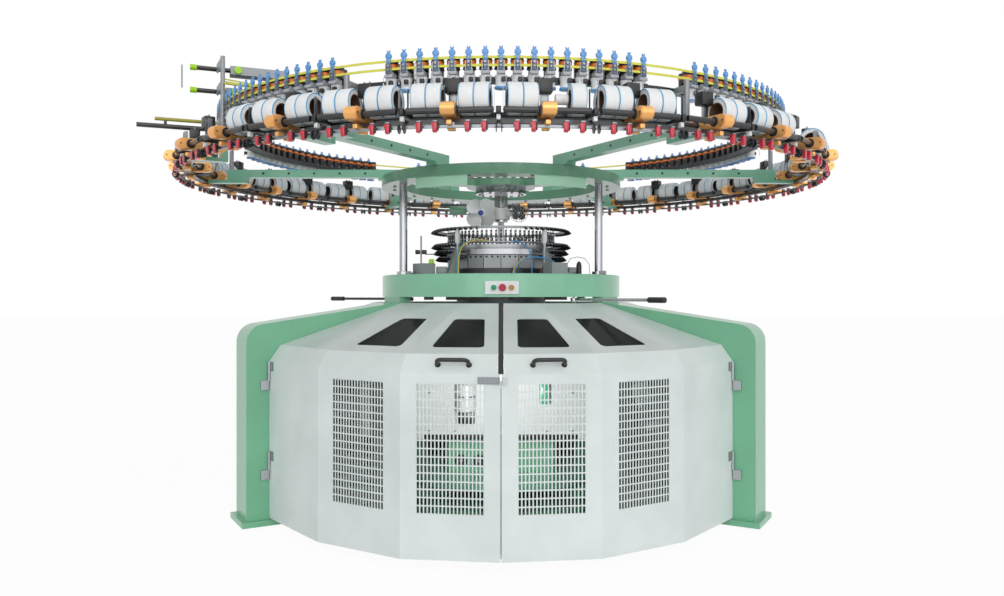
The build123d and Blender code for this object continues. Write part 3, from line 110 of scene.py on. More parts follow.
world = bpy.data.worlds.new("studio")
bpy.context.scene.world = world
world.use_nodes = True
sky = world.node_tree
sky.nodes.clear()
sky_place = sky.nodes.new("ShaderNodeTexCoord")
sky_split = sky.nodes.new("ShaderNodeSeparateXYZ")
sky_ramp = sky.nodes.new("ShaderNodeValToRGB")
for element, height, tone in zip(
    sky_ramp.color_ramp.elements, (0.0, 0.75), ((0.70, 0.71, 0.72, 1), (0.22, 0.225, 0.23, 1))
):
    element.position = height
    element.color = tone
sky_fill = sky.nodes.new("ShaderNodeBackground")
sky_white = sky.nodes.new("ShaderNodeBackground")
sky_white.inputs["Color"].default_value = (1, 1, 1, 1)
sky_mix = sky.nodes.new("ShaderNodeMixShader")
sky_out = sky.nodes.new("ShaderNodeOutputWorld")
link(sky, sky_place.outputs["Generated"], sky_split.inputs[0])
link(sky, sky_split.outputs["Z"], sky_ramp.inputs["Fac"])
link(sky, sky_ramp.outputs["Color"], sky_fill.inputs["Color"])
link(sky, plain_view(sky), sky_mix.inputs["Fac"])
link(sky, sky_fill.outputs[0], sky_mix.inputs[1])
link(sky, sky_white.outputs[0], sky_mix.inputs[2])
link(sky, sky_mix.outputs[0], sky_out.inputs["Surface"])
print("world", len(sky.nodes), "nodes")

# %% [markdown]
# Three suns stand for soft boxes: a low one in front, a weaker one on the right and a faint
# one overhead. Area lamps would do the same, but a sun lights a machine of four metres evenly.
# A wide angle softens its shadow and keeps its mirror image on the painted tops dim.


# %% Lamps
def add_sun(name, turn, rise, strength, softness):
    """A soft sun that shines from a turn (0 is the front, + is the right) and a rise."""
    data = bpy.data.lights.new(name, "SUN")
    data.energy = strength
    data.angle = radians(softness)
    lamp = bpy.data.objects.new(name, data)
    towards = Vector((sin(radians(turn)), -cos(radians(turn)), 0)) * cos(radians(rise))
    towards.z = sin(radians(rise))
    lamp.rotation_euler = towards.to_track_quat("Z", "Y").to_euler()
    bpy.context.scene.collection.objects.link(lamp)
    print(name, strength)


add_sun("key_light", -5, 15, 1.20, 60)
add_sun("fill_light", 38, 22, 0.66, 60)
add_sun("top_light", 0, 74, 0.35, 50)

# %% [markdown]
# The floor is pale and plain. Seen by the lens, in a mirror or through glass it is mostly
# white, with the machine's shadow kept at part strength, as in a cut-out picture. A fully
# white floor would lose that shadow. The light that it throws back on the machine is that of
# a plain pale floor.

# %% Floor
FLOOR_REACH = 40
FLOOR_WHITE_SHARE = 0.96

floor_mesh = bpy.data.meshes.new("studio_floor")
floor_mesh.from_pydata(
    [(x * FLOOR_REACH, y * FLOOR_REACH, 0) for x, y in ((-1, -1), (1, -1), (1, 1), (-1, 1))],
    [], [(0, 1, 2, 3)],
)
floor = bpy.data.objects.new("studio_floor", floor_mesh)
bpy.context.scene.collection.objects.link(floor)
pale_floor = bpy.data.materials.new("pale_floor")
pale_floor.use_nodes = True
floor_tree = pale_floor.node_tree
floor_tree.nodes.clear()
matt = floor_tree.nodes.new("ShaderNodeBsdfDiffuse")
matt.inputs["Color"].default_value = (0.86, 0.865, 0.87, 1)
white = floor_tree.nodes.new("ShaderNodeEmission")
white.inputs["Color"].default_value = (1, 1, 1, 1)
white_share = floor_tree.nodes.new("ShaderNodeMath")
white_share.operation = "MULTIPLY"
white_share.inputs[1].default_value = FLOOR_WHITE_SHARE
floor_mix = floor_tree.nodes.new("ShaderNodeMixShader")
floor_out = floor_tree.nodes.new("ShaderNodeOutputMaterial")
link(floor_tree, plain_view(floor_tree), white_share.inputs[0])
link(floor_tree, white_share.outputs[0], floor_mix.inputs["Fac"])
link(floor_tree, matt.outputs[0], floor_mix.inputs[1])
link(floor_tree, white.outputs[0], floor_mix.inputs[2])
link(floor_tree, floor_mix.outputs[0], floor_out.inputs["Surface"])
floor_mesh.materials.append(pale_floor)
print("floor", 2 * FLOOR_REACH, "m across")

# %% [markdown]
# Finishes
#
# Enamel on a machine is smooth but never perfect: its colour drifts a little, its gloss comes
# and goes, and the spray leaves a fine orange peel. Each finish could be its own node tree;
# one helper that mixes all of this from noise is shorter and keeps them related. Each finish
# gives its own colour, grain size and gloss, so paint, plate, plastic and yarn come from the
# same recipe without looking alike.


# %% A helper that mixes a finish
def make_finish(
    name, color, metal=0.0, roughness=0.4, drift=0.06, drift_size=0.25, grain=0.0002,
    grain_size=0.002, grain_strength=0.25, stretch=(1, 1, 1), coat=0.0, sheen=0.0,
):
    """A surface of one colour with slow drift in tone and gloss and a fine relief."""
    surface = bpy.data.materials.new(name)
    surface.use_nodes = True
    tree = surface.node_tree
    shader = tree.nodes["Principled BSDF"]
    shader.inputs["Metallic"].default_value = metal
    shader.inputs["Coat Weight"].default_value = coat
    shader.inputs["Coat Roughness"].default_value = 0.08
    shader.inputs["Sheen Weight"].default_value = sheen
    place = tree.nodes.new("ShaderNodeTexCoord")
    scale = tree.nodes.new("ShaderNodeMapping")
    scale.inputs["Scale"].default_value = stretch
    tone = tree.nodes.new("ShaderNodeTexNoise")
    tone.inputs["Scale"].default_value = 1 / drift_size
    tone.inputs["Detail"].default_value = 4
    shade = tree.nodes.new("ShaderNodeValToRGB")
    shade.color_ramp.elements[0].position = 0.3
    shade.color_ramp.elements[1].position = 0.7
    shade.color_ramp.elements[0].color = (*[c * (1 - drift) for c in color], 1)
    shade.color_ramp.elements[1].color = (*[min(c * (1 + drift), 1) for c in color], 1)
    gloss = tree.nodes.new("ShaderNodeMapRange")
    gloss.inputs["To Min"].default_value = roughness * 0.85
    gloss.inputs["To Max"].default_value = min(roughness * 1.15, 1)
    fine = tree.nodes.new("ShaderNodeTexNoise")
    fine.inputs["Scale"].default_value = 1 / grain_size
    fine.inputs["Detail"].default_value = 2
    relief = tree.nodes.new("ShaderNodeBump")
    relief.inputs["Strength"].default_value = grain_strength
    relief.inputs["Distance"].default_value = grain
    link(tree, place.outputs["Object"], scale.inputs["Vector"])
    link(tree, scale.outputs[0], tone.inputs["Vector"])
    link(tree, scale.outputs[0], fine.inputs["Vector"])
    link(tree, tone.outputs["Fac"], shade.inputs["Fac"])
    link(tree, shade.outputs["Color"], shader.inputs["Base Color"])
    link(tree, tone.outputs["Fac"], gloss.inputs["Value"])
    link(tree, gloss.outputs[0], shader.inputs["Roughness"])
    link(tree, fine.outputs["Fac"], relief.inputs["Height"])
    link(tree, relief.outputs[0], shader.inputs["Normal"])
    print("finish", name)
    return surface


# %% [markdown]
# Painted steel: the legs and the bed are a light mint enamel, the ring and its arms a deeper
# green, and the doors a pale grey with a hint of green. Enamel is a matt colour under a clear
# gloss, so the coat is used for the shine and the roughness below it stays moderate.

# %% Paints
mint_enamel = make_finish("mint_enamel", (0.155, 0.44, 0.26), roughness=0.34, coat=0.35)
bed_enamel = make_finish("bed_enamel", (0.23, 0.56, 0.36), roughness=0.30, coat=0.4)
arm_enamel = make_finish("arm_enamel", (0.185, 0.46, 0.31), roughness=0.34, coat=0.35)
ring_enamel = make_finish("ring_enamel", (0.115, 0.29, 0.175), roughness=0.34, coat=0.35)
door_enamel = make_finish("door_enamel", (0.70, 0.76, 0.745), roughness=0.42, coat=0.2)
white_enamel = make_finish("white_enamel", (0.78, 0.80, 0.80), roughness=0.36, coat=0.3)
light_green_enamel = make_finish("light_green_enamel", (0.42, 0.72, 0.52), roughness=0.4)
grey_enamel = make_finish("grey_enamel", (0.30, 0.32, 0.33), roughness=0.42)

# %% [markdown]
# Metals: ground and turned steel carries fine lines along the way it was cut, so its noise is
# stretched. Blackened steel is darker and duller, and the elastane housings are gold anodised.
# All of them mirror a white room here, so their own colours are kept fairly dark.

# %% Metals
bright_steel = make_finish(
    "bright_steel", (0.46, 0.47, 0.49), metal=1, roughness=0.24, stretch=(1, 1, 0.05),
    grain_strength=0.06,
)
turned_steel = make_finish(
    "turned_steel", (0.40, 0.41, 0.43), metal=1, roughness=0.32, stretch=(0.1, 0.1, 6),
    grain_strength=0.06,
)
satin_steel = make_finish("satin_steel", (0.29, 0.30, 0.31), metal=0.85, roughness=0.48)
polished_steel = make_finish(
    "polished_steel", (0.36, 0.37, 0.385), metal=1, roughness=0.17, grain_strength=0.01
)
grey_steel = make_finish("grey_steel", (0.25, 0.265, 0.28), metal=1, roughness=0.38)
dark_steel = make_finish("dark_steel", (0.035, 0.037, 0.042), metal=0.6, roughness=0.34)
black_steel = make_finish("black_steel", (0.012, 0.012, 0.014), roughness=0.3, coat=0.3)
gold_anodised = make_finish(
    "gold_anodised", (0.86, 0.44, 0.15), metal=0.65, roughness=0.33, drift=0.1
)
zinc_plate = make_finish("zinc_plate", (0.27, 0.285, 0.30), metal=0.4, roughness=0.42)

# %% [markdown]
# Plastics and rubber. Coloured mouldings are glossy, grips and rubber are matt, and the belts
# are a woven yellow. A weave could be drawn thread by thread, but at this size a stronger
# grain gives the same look.

# %% Plastics
button_red = make_finish("button_red", (0.42, 0.004, 0.035), roughness=0.4)
button_green = make_finish("button_green", (0.02, 0.28, 0.13), roughness=0.4)
button_amber = make_finish("button_amber", (0.50, 0.22, 0.02), roughness=0.4)
red_plastic = make_finish("red_plastic", (0.58, 0.008, 0.035), roughness=0.28, coat=0.5)
blue_plastic = make_finish("blue_plastic", (0.10, 0.32, 0.70), roughness=0.3, coat=0.3)
deep_blue_plastic = make_finish("deep_blue_plastic", (0.01, 0.035, 0.30), roughness=0.3)
green_plastic = make_finish("green_plastic", (0.03, 0.46, 0.20), roughness=0.3, coat=0.4)
orange_plastic = make_finish("orange_plastic", (0.86, 0.20, 0.02), roughness=0.32)
lime_plastic = make_finish("lime_plastic", (0.38, 0.72, 0.0), roughness=0.35)
white_plastic = make_finish("white_plastic", (0.80, 0.81, 0.82), roughness=0.32, coat=0.3)
grey_plastic = make_finish("grey_plastic", (0.42, 0.44, 0.47), roughness=0.4)
slate_plastic = make_finish("slate_plastic", (0.10, 0.16, 0.24), roughness=0.4)
black_plastic = make_finish("black_plastic", (0.011, 0.011, 0.012), roughness=0.36)
black_rubber = make_finish("black_rubber", (0.010, 0.010, 0.011), roughness=0.62)
belt_weave = make_finish(
    "belt_weave", (0.76, 0.74, 0.09), roughness=0.6, grain=0.0006, grain_strength=0.6
)
olive_bar = make_finish("olive_bar", (0.36, 0.33, 0.05), roughness=0.45)
# The paper tube is tan; this dark brown is painted shade for the shadowed inside of the bore.
paper_tube_painted_shade = make_finish("paper_tube_painted_shade", (0.10, 0.062, 0.042), roughness=0.75)
sky_blue = make_finish("sky_blue", (0.03, 0.42, 0.78), roughness=0.4)

# %% [markdown]
# The roof windows are closed with panes: nearly black, a little see-through and with
# hardly any mirror of their own, because the photograph shows dark openings and no glare.
# The near black is painted shade for the shadowed inside behind the windows.
# Wound elastane is white thread laid side by side. A real winding could be modelled as a
# helix, but a fine relief gives the same soft surface for nothing; the tone stays almost white.

# %% Dark panes with painted shade, and wound yarn
# Nearly black: painted shade for the shadowed inside seen through the roof windows.
shade_painted_pane = make_finish("shade_painted_pane", (0.012, 0.016, 0.015), roughness=0.12)
pane_shader = shade_painted_pane.node_tree.nodes["Principled BSDF"]
pane_shader.inputs["Alpha"].default_value = 0.88
pane_shader.inputs["IOR"].default_value = 1.06
wound_yarn = make_finish(
    "wound_yarn", (0.86, 0.87, 0.87), roughness=0.7, drift=0.025, drift_size=0.03,
    grain=0.0008, grain_size=0.0016, grain_strength=0.35, sheen=0.3,
)

# %% [markdown]
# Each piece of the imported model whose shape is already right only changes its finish. Its mesh
# stays as it is; the new finish goes into its material slots.

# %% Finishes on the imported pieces
NODE_FINISHES = {
    mint_enamel: ("legs", "base_frame", "gearbox"),
    bed_enamel: ("bed_plate",),
    ring_enamel: ("upper_ring",),
    arm_enamel: ("radial_arms", "turntable"),
    door_enamel: ("left_door", "right_door", "rear_guards"),
    white_enamel: ("takedown_frame", "fan_carrier", "large_fan", "control_plate"),
    bright_steel: (
        "latch_keeper", "left_hinge_knuckles", "right_hinge_knuckles", "hinge_posts",
        "right_lever",
    ),
    turned_steel: (
        "sinker_ring", "left_takedown_roller", "right_takedown_roller", "cloth_roller",
    ),
    zinc_plate: ("side_brackets", "feeder_posts", "valve_boxes", "latch_plate", "latch_bolt"),
    satin_steel: ("cam_blocks", "needle_cylinder"),
    polished_steel: ("columns", "central_shaft"),
    grey_steel: ("stop_motion_rail", "small_fan", "yarn_guide_ring"),
    dark_steel: ("cylinder_seat", "feeder_rail", "drive_motor"),
    black_steel: ("elastane_rail", "unit_rods", "left_lever", "side_tubes", "levelling_feet"),
    gold_anodised: ("unit_housings",),
    wound_yarn: ("yarn_packages",),
    red_plastic: ("stop_motions",),
    button_red: ("red_button",),
    button_green: ("green_button",),
    button_amber: ("orange_button",),
    lime_plastic: ("side_caps",),
    grey_plastic: ("yarn_feeders", "left_door_grilles", "right_door_grilles", "guard_grilles"),
    belt_weave: ("feeder_belts",),
    black_plastic: ("left_handle", "right_handle", "left_lever_grip", "right_lever_grip"),
    black_rubber: ("seam_seal",),
}
for finish, names in NODE_FINISHES.items():
    for name in names:
        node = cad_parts[name]
        if not node.material_slots:
            node.data.materials.append(finish)
        for node_slot in node.material_slots:
            node_slot.material = finish
print(sum(len(names) for names in NODE_FINISHES.values()), "packed pieces have a finish")

# %% [markdown]
# Tools for making pieces
#
# Nearly everything on a circular machine stands at a turn from the front and a distance from
# the axis. So a place is a matrix: it could be typed as coordinates, but then every copy would
# need its own sine and cosine.


# %% Places
def polar(turn, radius, height):
    """A place at a turn from the front: local X points outward and local Z points up."""
    angle = radians(turn) - pi / 2
    spot = Matrix.Translation((radius * cos(angle), radius * sin(angle), height))
    return spot @ Matrix.Rotation(angle, 4, "Z")


def at(x, y, z):
    """A plain move."""
    return Matrix.Translation((x, y, z))


def outward(side):
    """Turns local Z out to one side along Y: side is -1 or 1."""
    return Matrix.Rotation(-side * pi / 2, 4, "X")


AXIS_TO_X = Matrix.Rotation(pi / 2, 4, "Y")
AXIS_TO_Y = outward(1)
UPRIGHT = outward(-1)
SIDES = (-1, 1)
print("a place at 90 degrees:", polar(90, 1, 0).translation)

# %% [markdown]
# A piece starts as an empty bmesh and gains plain forms, each placed by a matrix, each in one
# of the piece's finishes by number. Ready-made primitives joined by modifiers would also do,
# but a hundred small parts build much faster in one mesh. Blocks get broken edges, since no
# machined edge is perfectly sharp and the light catches on the bevel. A last little helper
# tries each form once and counts its faces.


# %% Blocks
def settle(shape, verts, place, finish):
    """Moves new points to their place and gives their faces a finish."""
    bmesh.ops.transform(shape, matrix=place, verts=verts)
    for face in {face for vert in verts for face in vert.link_faces}:
        face.material_index = finish


def add_block(shape, size, place, finish=0, edge=0.0):
    """A block centred on its place, with its edges broken by a bevel."""
    verts = bmesh.ops.create_cube(shape, size=1)["verts"]
    bmesh.ops.scale(shape, vec=size, verts=verts)
    if edge:
        edges = list({e for v in verts for e in v.link_edges})
        made = bmesh.ops.bevel(
            shape, geom=edges, offset=edge, segments=2, profile=0.5, affect="EDGES"
        )
        verts = list({v for f in made["faces"] for v in f.verts})
    settle(shape, verts, place, finish)


def add_blocks(shape, rows, place=at(0, 0, 0)):
    """Several blocks about one place, each given as size, spot, finish and edge."""
    for size, spot, finish, edge in rows:
        add_block(shape, size, place @ at(*spot), finish, edge)


def try_out(title, add, *values, **options):
    """Makes a form once and prints how many faces it has."""
    sample = bmesh.new()
    add(sample, *values, **options)
    print(title, len(sample.faces), "faces")
    sample.free()


try_out("a block with broken edges", add_block, (0.1, 0.1, 0.1), at(0, 0, 0), edge=0.01)

# %% [markdown]
# Rolls, wheels, knobs and collars come off a lathe, so they are made like that: a profile of
# radius and height is swept once round. A closed profile that never meets the axis is a ring.


# %% Turned forms
def add_turned(shape, profile, place, sides=24, finish=0, ring=False):
    """A turned form about local Z from (radius, height) points; ring joins last to first."""
    rows = []
    for radius, height in profile:
        if radius < 1e-6:
            rows.append([shape.verts.new((0, 0, height))])
        else:
            turns = (2 * pi * step / sides for step in range(sides))
            rows.append(
                [shape.verts.new((radius * cos(a), radius * sin(a), height)) for a in turns]
            )
    pairs = list(zip(rows, rows[1:]))
    if ring:
        pairs.append((rows[-1], rows[0]))
    for low, high in pairs:
        for step in range(sides):
            after = (step + 1) % sides
            corners = [low[step % len(low)], low[after % len(low)]]
            corners += [high[after % len(high)], high[step % len(high)]]
            corners = list(dict.fromkeys(corners))
            if len(corners) > 2:
                shape.faces.new(corners)
    settle(shape, [vert for row in rows for vert in row], place, finish)


def add_round(shape, radius, length, place, sides=24, finish=0, edge=0.0):
    """A solid round from local Z 0 to length, with an optional chamfer at both ends."""
    profile = [(0, 0), (radius - edge, 0)]
    if edge:
        profile += [(radius, edge), (radius, length - edge)]
    profile += [(radius - edge, length), (0, length)]
    add_turned(shape, profile, place, sides, finish)


try_out("a chamfered round", add_round, 0.05, 0.1, at(0, 0, 0), edge=0.01)

# %% [markdown]
# Sheet parts are an outline with a thickness. Extruding a face would give the same; with both
# rims and the edge faces written out, no step depends on what is selected. Many plates of this
# machine have round ends, so their outline gets a helper too.


# %% Plates
def add_plate(shape, outline, thickness, place, finish=0):
    """A flat plate: an outline in local X and Y, thickened along local Z."""
    low = [shape.verts.new((x, y, 0)) for x, y in outline]
    high = [shape.verts.new((x, y, thickness)) for x, y in outline]
    shape.faces.new(list(reversed(low)))
    shape.faces.new(high)
    count = len(outline)
    for step in range(count):
        after = (step + 1) % count
        shape.faces.new((low[step], low[after], high[after], high[step]))
    settle(shape, low + high, place, finish)


def stadium(length, height, steps=10):
    """The outline of a bar with round ends, centred, along local X."""
    radius = height / 2
    reach = length / 2 - radius
    right = [(-pi / 2 + pi * step / steps) for step in range(steps + 1)]
    outline = [(reach + radius * cos(a), radius * sin(a)) for a in right]
    return outline + [(-x, -y) for x, y in outline]


try_out("a plate with round ends", add_plate, stadium(0.2, 0.05), 0.01, at(0, 0, 0))

# %% [markdown]
# Bent wire and bars follow a line of points. A curve with a bevel would do, but it would have
# to become a mesh first. Here the cross-section is carried along without twisting: each ring
# of points takes the side of the ring before and only leans it into the new direction.


# %% Bars
def add_bar(shape, points, radius, sides=10, finish=0):
    """A round bar that follows a line of points."""
    rows = []
    spots = [Vector(point) for point in points]
    side = None
    for step, spot in enumerate(spots):
        before = spots[max(step - 1, 0)]
        after = spots[min(step + 1, len(spots) - 1)]
        along = (after - before).normalized()
        if side is None:
            side = along.orthogonal().normalized()
        side = (side - along * side.dot(along)).normalized()
        other = along.cross(side)
        turns = (2 * pi * turn / sides for turn in range(sides))
        rows.append(
            [shape.verts.new(spot + (side * cos(a) + other * sin(a)) * radius) for a in turns]
        )
    for low, high in zip(rows, rows[1:]):
        for step in range(sides):
            after = (step + 1) % sides
            shape.faces.new((low[step], low[after], high[after], high[step]))
    shape.faces.new(list(reversed(rows[0])))
    shape.faces.new(rows[-1])
    for face in {face for row in rows for vert in row for face in vert.link_faces}:
        face.material_index = finish


try_out("a bent bar", add_bar, [(0, 0, 0), (0.1, 0, 0), (0.1, 0.1, 0)], 0.01)

# %% [markdown]
# A machine repeats itself: thirty elastane units, over a hundred feeders. The pattern is made
# once and copied to each place, and all copies become one piece with shared finishes. Linked
# objects would save memory, but a single piece is easier to name, ride on a body and export.


# %% Copies and finished pieces
def copied(shape, places):
    """The shape repeated at every place, as one shape."""
    pattern = bpy.data.meshes.new("pattern")
    shape.to_mesh(pattern)
    shape.free()
    result = bmesh.new()
    for place in places:
        one = pattern.copy()
        one.transform(place)
        result.from_mesh(one)
        bpy.data.meshes.remove(one)
    bpy.data.meshes.remove(pattern)
    return result


made_pieces = {}


def make_piece(name, shape, finishes, body="frame", instead_of=()):
    """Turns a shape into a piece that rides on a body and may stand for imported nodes."""
    bmesh.ops.recalc_face_normals(shape, faces=shape.faces)
    for face in shape.faces:
        face.smooth = True
    mesh = bpy.data.meshes.new(name)
    shape.to_mesh(mesh)
    shape.free()
    mesh.set_sharp_from_angle(angle=radians(35))
    for finish in finishes:
        mesh.materials.append(finish)
    piece = bpy.data.objects.new(name, mesh)
    bpy.context.scene.collection.objects.link(piece)
    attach(piece, body)
    if instead_of:
        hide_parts(*instead_of)
    made_pieces[name] = sum(len(face.vertices) - 2 for face in mesh.polygons)
    print(name, made_pieces[name], "triangles")


# %% [markdown]
# The elastane units
#
# Each of the thirty units on the outer rail is a gold housing with round ends. Two driven rods
# pass through it, and packages of elastane lie on the rods on both sides. The housing could be
# one block; made as a core, two covers, bearing rings, screws and a small foot clamp, it shows
# the joint lines of the real casting.

# %% Elastane housings
UNIT_COUNT = 30
UNIT_TURN = 5.7
UNIT_RADIUS = 1.745
ROD_SPACING = 0.108
HOUSING_LENGTH = 0.230
HOUSING_WIDTH = 0.056
COVER_THICKNESS = 0.004
COVER_STEP = 0.006
CORE_WIDTH = HOUSING_WIDTH - 2 * COVER_THICKNESS
rail_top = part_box("elastane_rail")[1].z
housing_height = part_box("unit_housings")[1].z - rail_top
unit_places = [
    polar(UNIT_TURN + step * 360 / UNIT_COUNT, UNIT_RADIUS, rail_top + housing_height / 2)
    for step in range(UNIT_COUNT)
]

housing = bmesh.new()
core = stadium(HOUSING_LENGTH, housing_height)
cover = stadium(HOUSING_LENGTH - COVER_STEP, housing_height - COVER_STEP)
add_plate(housing, core, CORE_WIDTH, at(0, CORE_WIDTH / 2, 0) @ UPRIGHT)
for side in SIDES:
    cover_y = side * (CORE_WIDTH + COVER_THICKNESS) / 2 + COVER_THICKNESS / 2
    add_plate(housing, cover, COVER_THICKNESS, at(0, cover_y, 0) @ UPRIGHT)
    for end in SIDES:
        bearing = at(end * ROD_SPACING / 2, side * CORE_WIDTH / 2, 0) @ outward(side)
        add_round(housing, 0.021, 0.007, bearing, 24, 1, 0.001)
    for x in (-0.1, 0, 0.1):
        screw = at(x, side * (CORE_WIDTH / 2 + COVER_THICKNESS), 0) @ outward(side)
        add_round(housing, 0.0035, 0.002, screw, 10, 1)
foot_clamp = (
    ((0.034, 0.03, 0.022), (0, 0, -0.029), 0, 0.002),
    ((0.05, 0.02, 0.018), (0.045, 0, -0.02), 0, 0.002),
)
add_blocks(housing, foot_clamp, at(0, 0, -housing_height / 2))
make_piece(
    "elastane_housings", copied(housing, unit_places), (gold_anodised, dark_steel),
    instead_of=("unit_housings",),
)

# %% [markdown]
# The rods are plain black rounds with a small collar near each end, which keeps the packages
# on them. One rod could run through the whole housing, but nothing shows inside, so each rod
# end starts at the face of the housing.

# %% Rods of the units
ROD_RADIUS = 0.0125
ROD_REACH = 0.170
ROD_START = HOUSING_WIDTH / 2
ROD_LENGTH = ROD_REACH - ROD_START
ROD_COLLAR = [(ROD_RADIUS, -0.002), (ROD_RADIUS + 0.0012, 0), (ROD_RADIUS, 0.002)]

rods = bmesh.new()
for side in SIDES:
    for end in SIDES:
        rod = at(end * ROD_SPACING / 2, side * ROD_START, 0) @ outward(side)
        add_round(rods, ROD_RADIUS, ROD_LENGTH, rod, 16, 0, 0.0015)
        for share in (0.05, 0.97):
            add_turned(rods, ROD_COLLAR, rod @ at(0, 0, share * ROD_LENGTH), 16, 0)
make_piece(
    "elastane_rods", copied(rods, unit_places), (black_steel,),
    instead_of=("unit_rods",),
)

# %% [markdown]
# A roll of elastane is a wide white ring wound on a paper tube, with soft shoulders. A plain
# cylinder would look like pipe: the rounded shoulders and the dark bore make it read as yarn.
# The tan tube inside the bore is coloured dark brown as painted shade for the shadowed bore.

# %% A wound roll
ROLL_RADIUS = 0.0640
ROLL_WIDTH = 0.0575
TUBE_RADIUS = 0.041
TUBE_WALL = 0.004


def add_roll(shape, place):
    """One wound roll on its paper tube, along local Y, centred on its place."""
    half = ROLL_WIDTH / 2
    radius = ROLL_RADIUS
    wound = [
        (TUBE_RADIUS, -half), (radius - 0.005, -half), (radius - 0.0015, -half + 0.0025),
        (radius, -half + 0.008), (radius, half - 0.008), (radius - 0.0015, half - 0.0025),
        (radius - 0.005, half), (TUBE_RADIUS, half),
    ]
    lying = place @ AXIS_TO_Y
    add_turned(shape, wound, lying, 36, 0)
    bore = TUBE_RADIUS - TUBE_WALL
    tube = [(TUBE_RADIUS, -half), (bore, -half), (bore, half), (TUBE_RADIUS, half)]
    add_turned(shape, tube, lying, 36, 1)


try_out("a roll of elastane", add_roll, at(0, 0, 0))

# %% [markdown]
# Two rolls lie side by side as a package, with a thin blue line between them. Some stations
# are empty and show only the bare rods, and one holds a single roll beside a spent tube. The
# units could share one linked package, but then all stations would be full.

# %% Elastane packages
ROLL_PITCH = 0.059
PACKAGE_OFFSET = 0.093
PACKAGE_RISE = ROD_SPACING / 2
SPENT_TUBE_RADIUS = 0.0205
EMPTY_STATIONS = {(2, -1), (4, -1), (4, 1), (24, 1), (24, -1), (25, 1), (25, -1), (26, -1)}
HALF_EMPTY_STATION = (0, 1)
BLUE_LINES = ((-0.0592, 0.0605), (0, 0.0645), (0.0592, 0.0605))

rolls = bmesh.new()
for number, unit_place in enumerate(unit_places):
    for side in SIDES:
        if (number, side) in EMPTY_STATIONS:
            continue
        pair = unit_place @ at(0, side * PACKAGE_OFFSET, PACKAGE_RISE)
        full = (number, side) != HALF_EMPTY_STATION
        for half in SIDES if full else (1,):
            add_roll(rolls, pair @ at(0, half * ROLL_PITCH / 2, 0))
        if not full:
            spent = pair @ at(0, -0.056, 0) @ AXIS_TO_Y
            add_round(rolls, SPENT_TUBE_RADIUS, 0.050, spent, 24, 0, 0.001)
        for y, radius in BLUE_LINES if full else BLUE_LINES[1:]:
            line = [(radius - 0.003, -0.0009), (radius, -0.0009), (radius, 0.0009)]
            line += [(radius - 0.003, 0.0009)]
            add_turned(rolls, line, pair @ at(0, y, 0) @ AXIS_TO_Y, 36, 2, ring=True)
make_piece(
    "elastane_packages", rolls, (wound_yarn, paper_tube_painted_shade, sky_blue),
    instead_of=("yarn_packages",),
)

# %% [markdown]
# Between two units the rods meet in a black joint with a pale block under it. Behind every
# housing a small black box with the wiring stands on a strap. Thin dark guide discs hang in
# pairs at the same joints, where the yarns of two units pass. All of it repeats with the
# units, so it is made round one unit: the joint lies half a pitch further on.

# %% Joints, boxes and guide discs of the units
joint_turn = Matrix.Rotation(radians(180 / UNIT_COUNT), 4, "Z")
joint_place = at(-UNIT_RADIUS, 0, 0) @ joint_turn @ at(UNIT_RADIUS, 0, 0)
wiring_box = (
    ((0.050, 0.060, 0.056), (-0.034, 0, 0.112), 0, 0.004),
    ((0.004, 0.034, 0.060), (-0.030, 0, 0.056), 1, 0.001),
)
rod_joint = (
    ((0.140, 0.020, 0.026), (0, 0, 0), 0, 0.003),
    ((0.020, 0.016, 0.020), (0.045, 0, -0.026), 2, 0.002),
    ((0.018, 0.002, 0.086), (0.03, -0.017, 0.05), 1, 0.0),
    ((0.018, 0.002, 0.086), (0.03, 0.017, 0.05), 1, 0.0),
    ((0.020, 0.008, 0.010), (0.052, 0, -0.060), 1, 0.001),
)
DISC_X, DISC_Z = 0.058, -0.067

fittings = bmesh.new()
add_blocks(fittings, wiring_box)
for y in (-0.012, 0.012):
    add_round(fittings, 0.004, 0.010, at(-0.034, y, 0.140), 10, 1)
add_blocks(fittings, rod_joint, joint_place)
for y in (-0.01054, 0.01054):
    disc = joint_place @ at(DISC_X, y, DISC_Z) @ AXIS_TO_Y
    add_round(fittings, 0.0185, 0.004, disc, 20, 3, 0.001)
axle = joint_place @ at(DISC_X, -0.016, DISC_Z) @ AXIS_TO_Y
add_round(fittings, 0.003, 0.036, axle, 8, 1)
make_piece(
    "unit_fittings", copied(fittings, unit_places),
    (black_plastic, grey_steel, white_plastic, dark_steel),
)

# %% [markdown]
# Stop motions
#
# When a yarn breaks, one of these red levers drops and stops the machine. Each is a small red
# moulding with a dark cheek, a steel clip to its rail and a pale roller under it. They come in
# pairs, two pairs to a unit. From this distance only the outline and the four colours count,
# so a few small blocks say enough.

# %% Stop motions
STOP_PAIRS = 60
STOP_RADIUS = 1.805
STOP_FIRST = 3.0
STOP_SPREAD = 0.064
stop_low, stop_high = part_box("stop_motions")
stop_middle = (stop_low.z + stop_high.z) / 2
stop_blocks = (
    ((0.019, 0.019, 0.040), (0, -0.002, -0.003), 0, 0.005),
    ((0.013, 0.005, 0.028), (0, 0.0100, -0.002), 1, 0.001),
    ((0.019, 0.018, 0.006), (0, 0, 0.019), 2, 0.001),
    ((0.012, 0.005, 0.014), (0.004, -0.011, 0.005), 0, 0.001),
)
stop_places = [
    polar(STOP_FIRST + pair * 360 / STOP_PAIRS, STOP_RADIUS, stop_middle)
    @ at(0, side * STOP_SPREAD / 2, 0)
    for pair in range(STOP_PAIRS)
    for side in SIDES
]

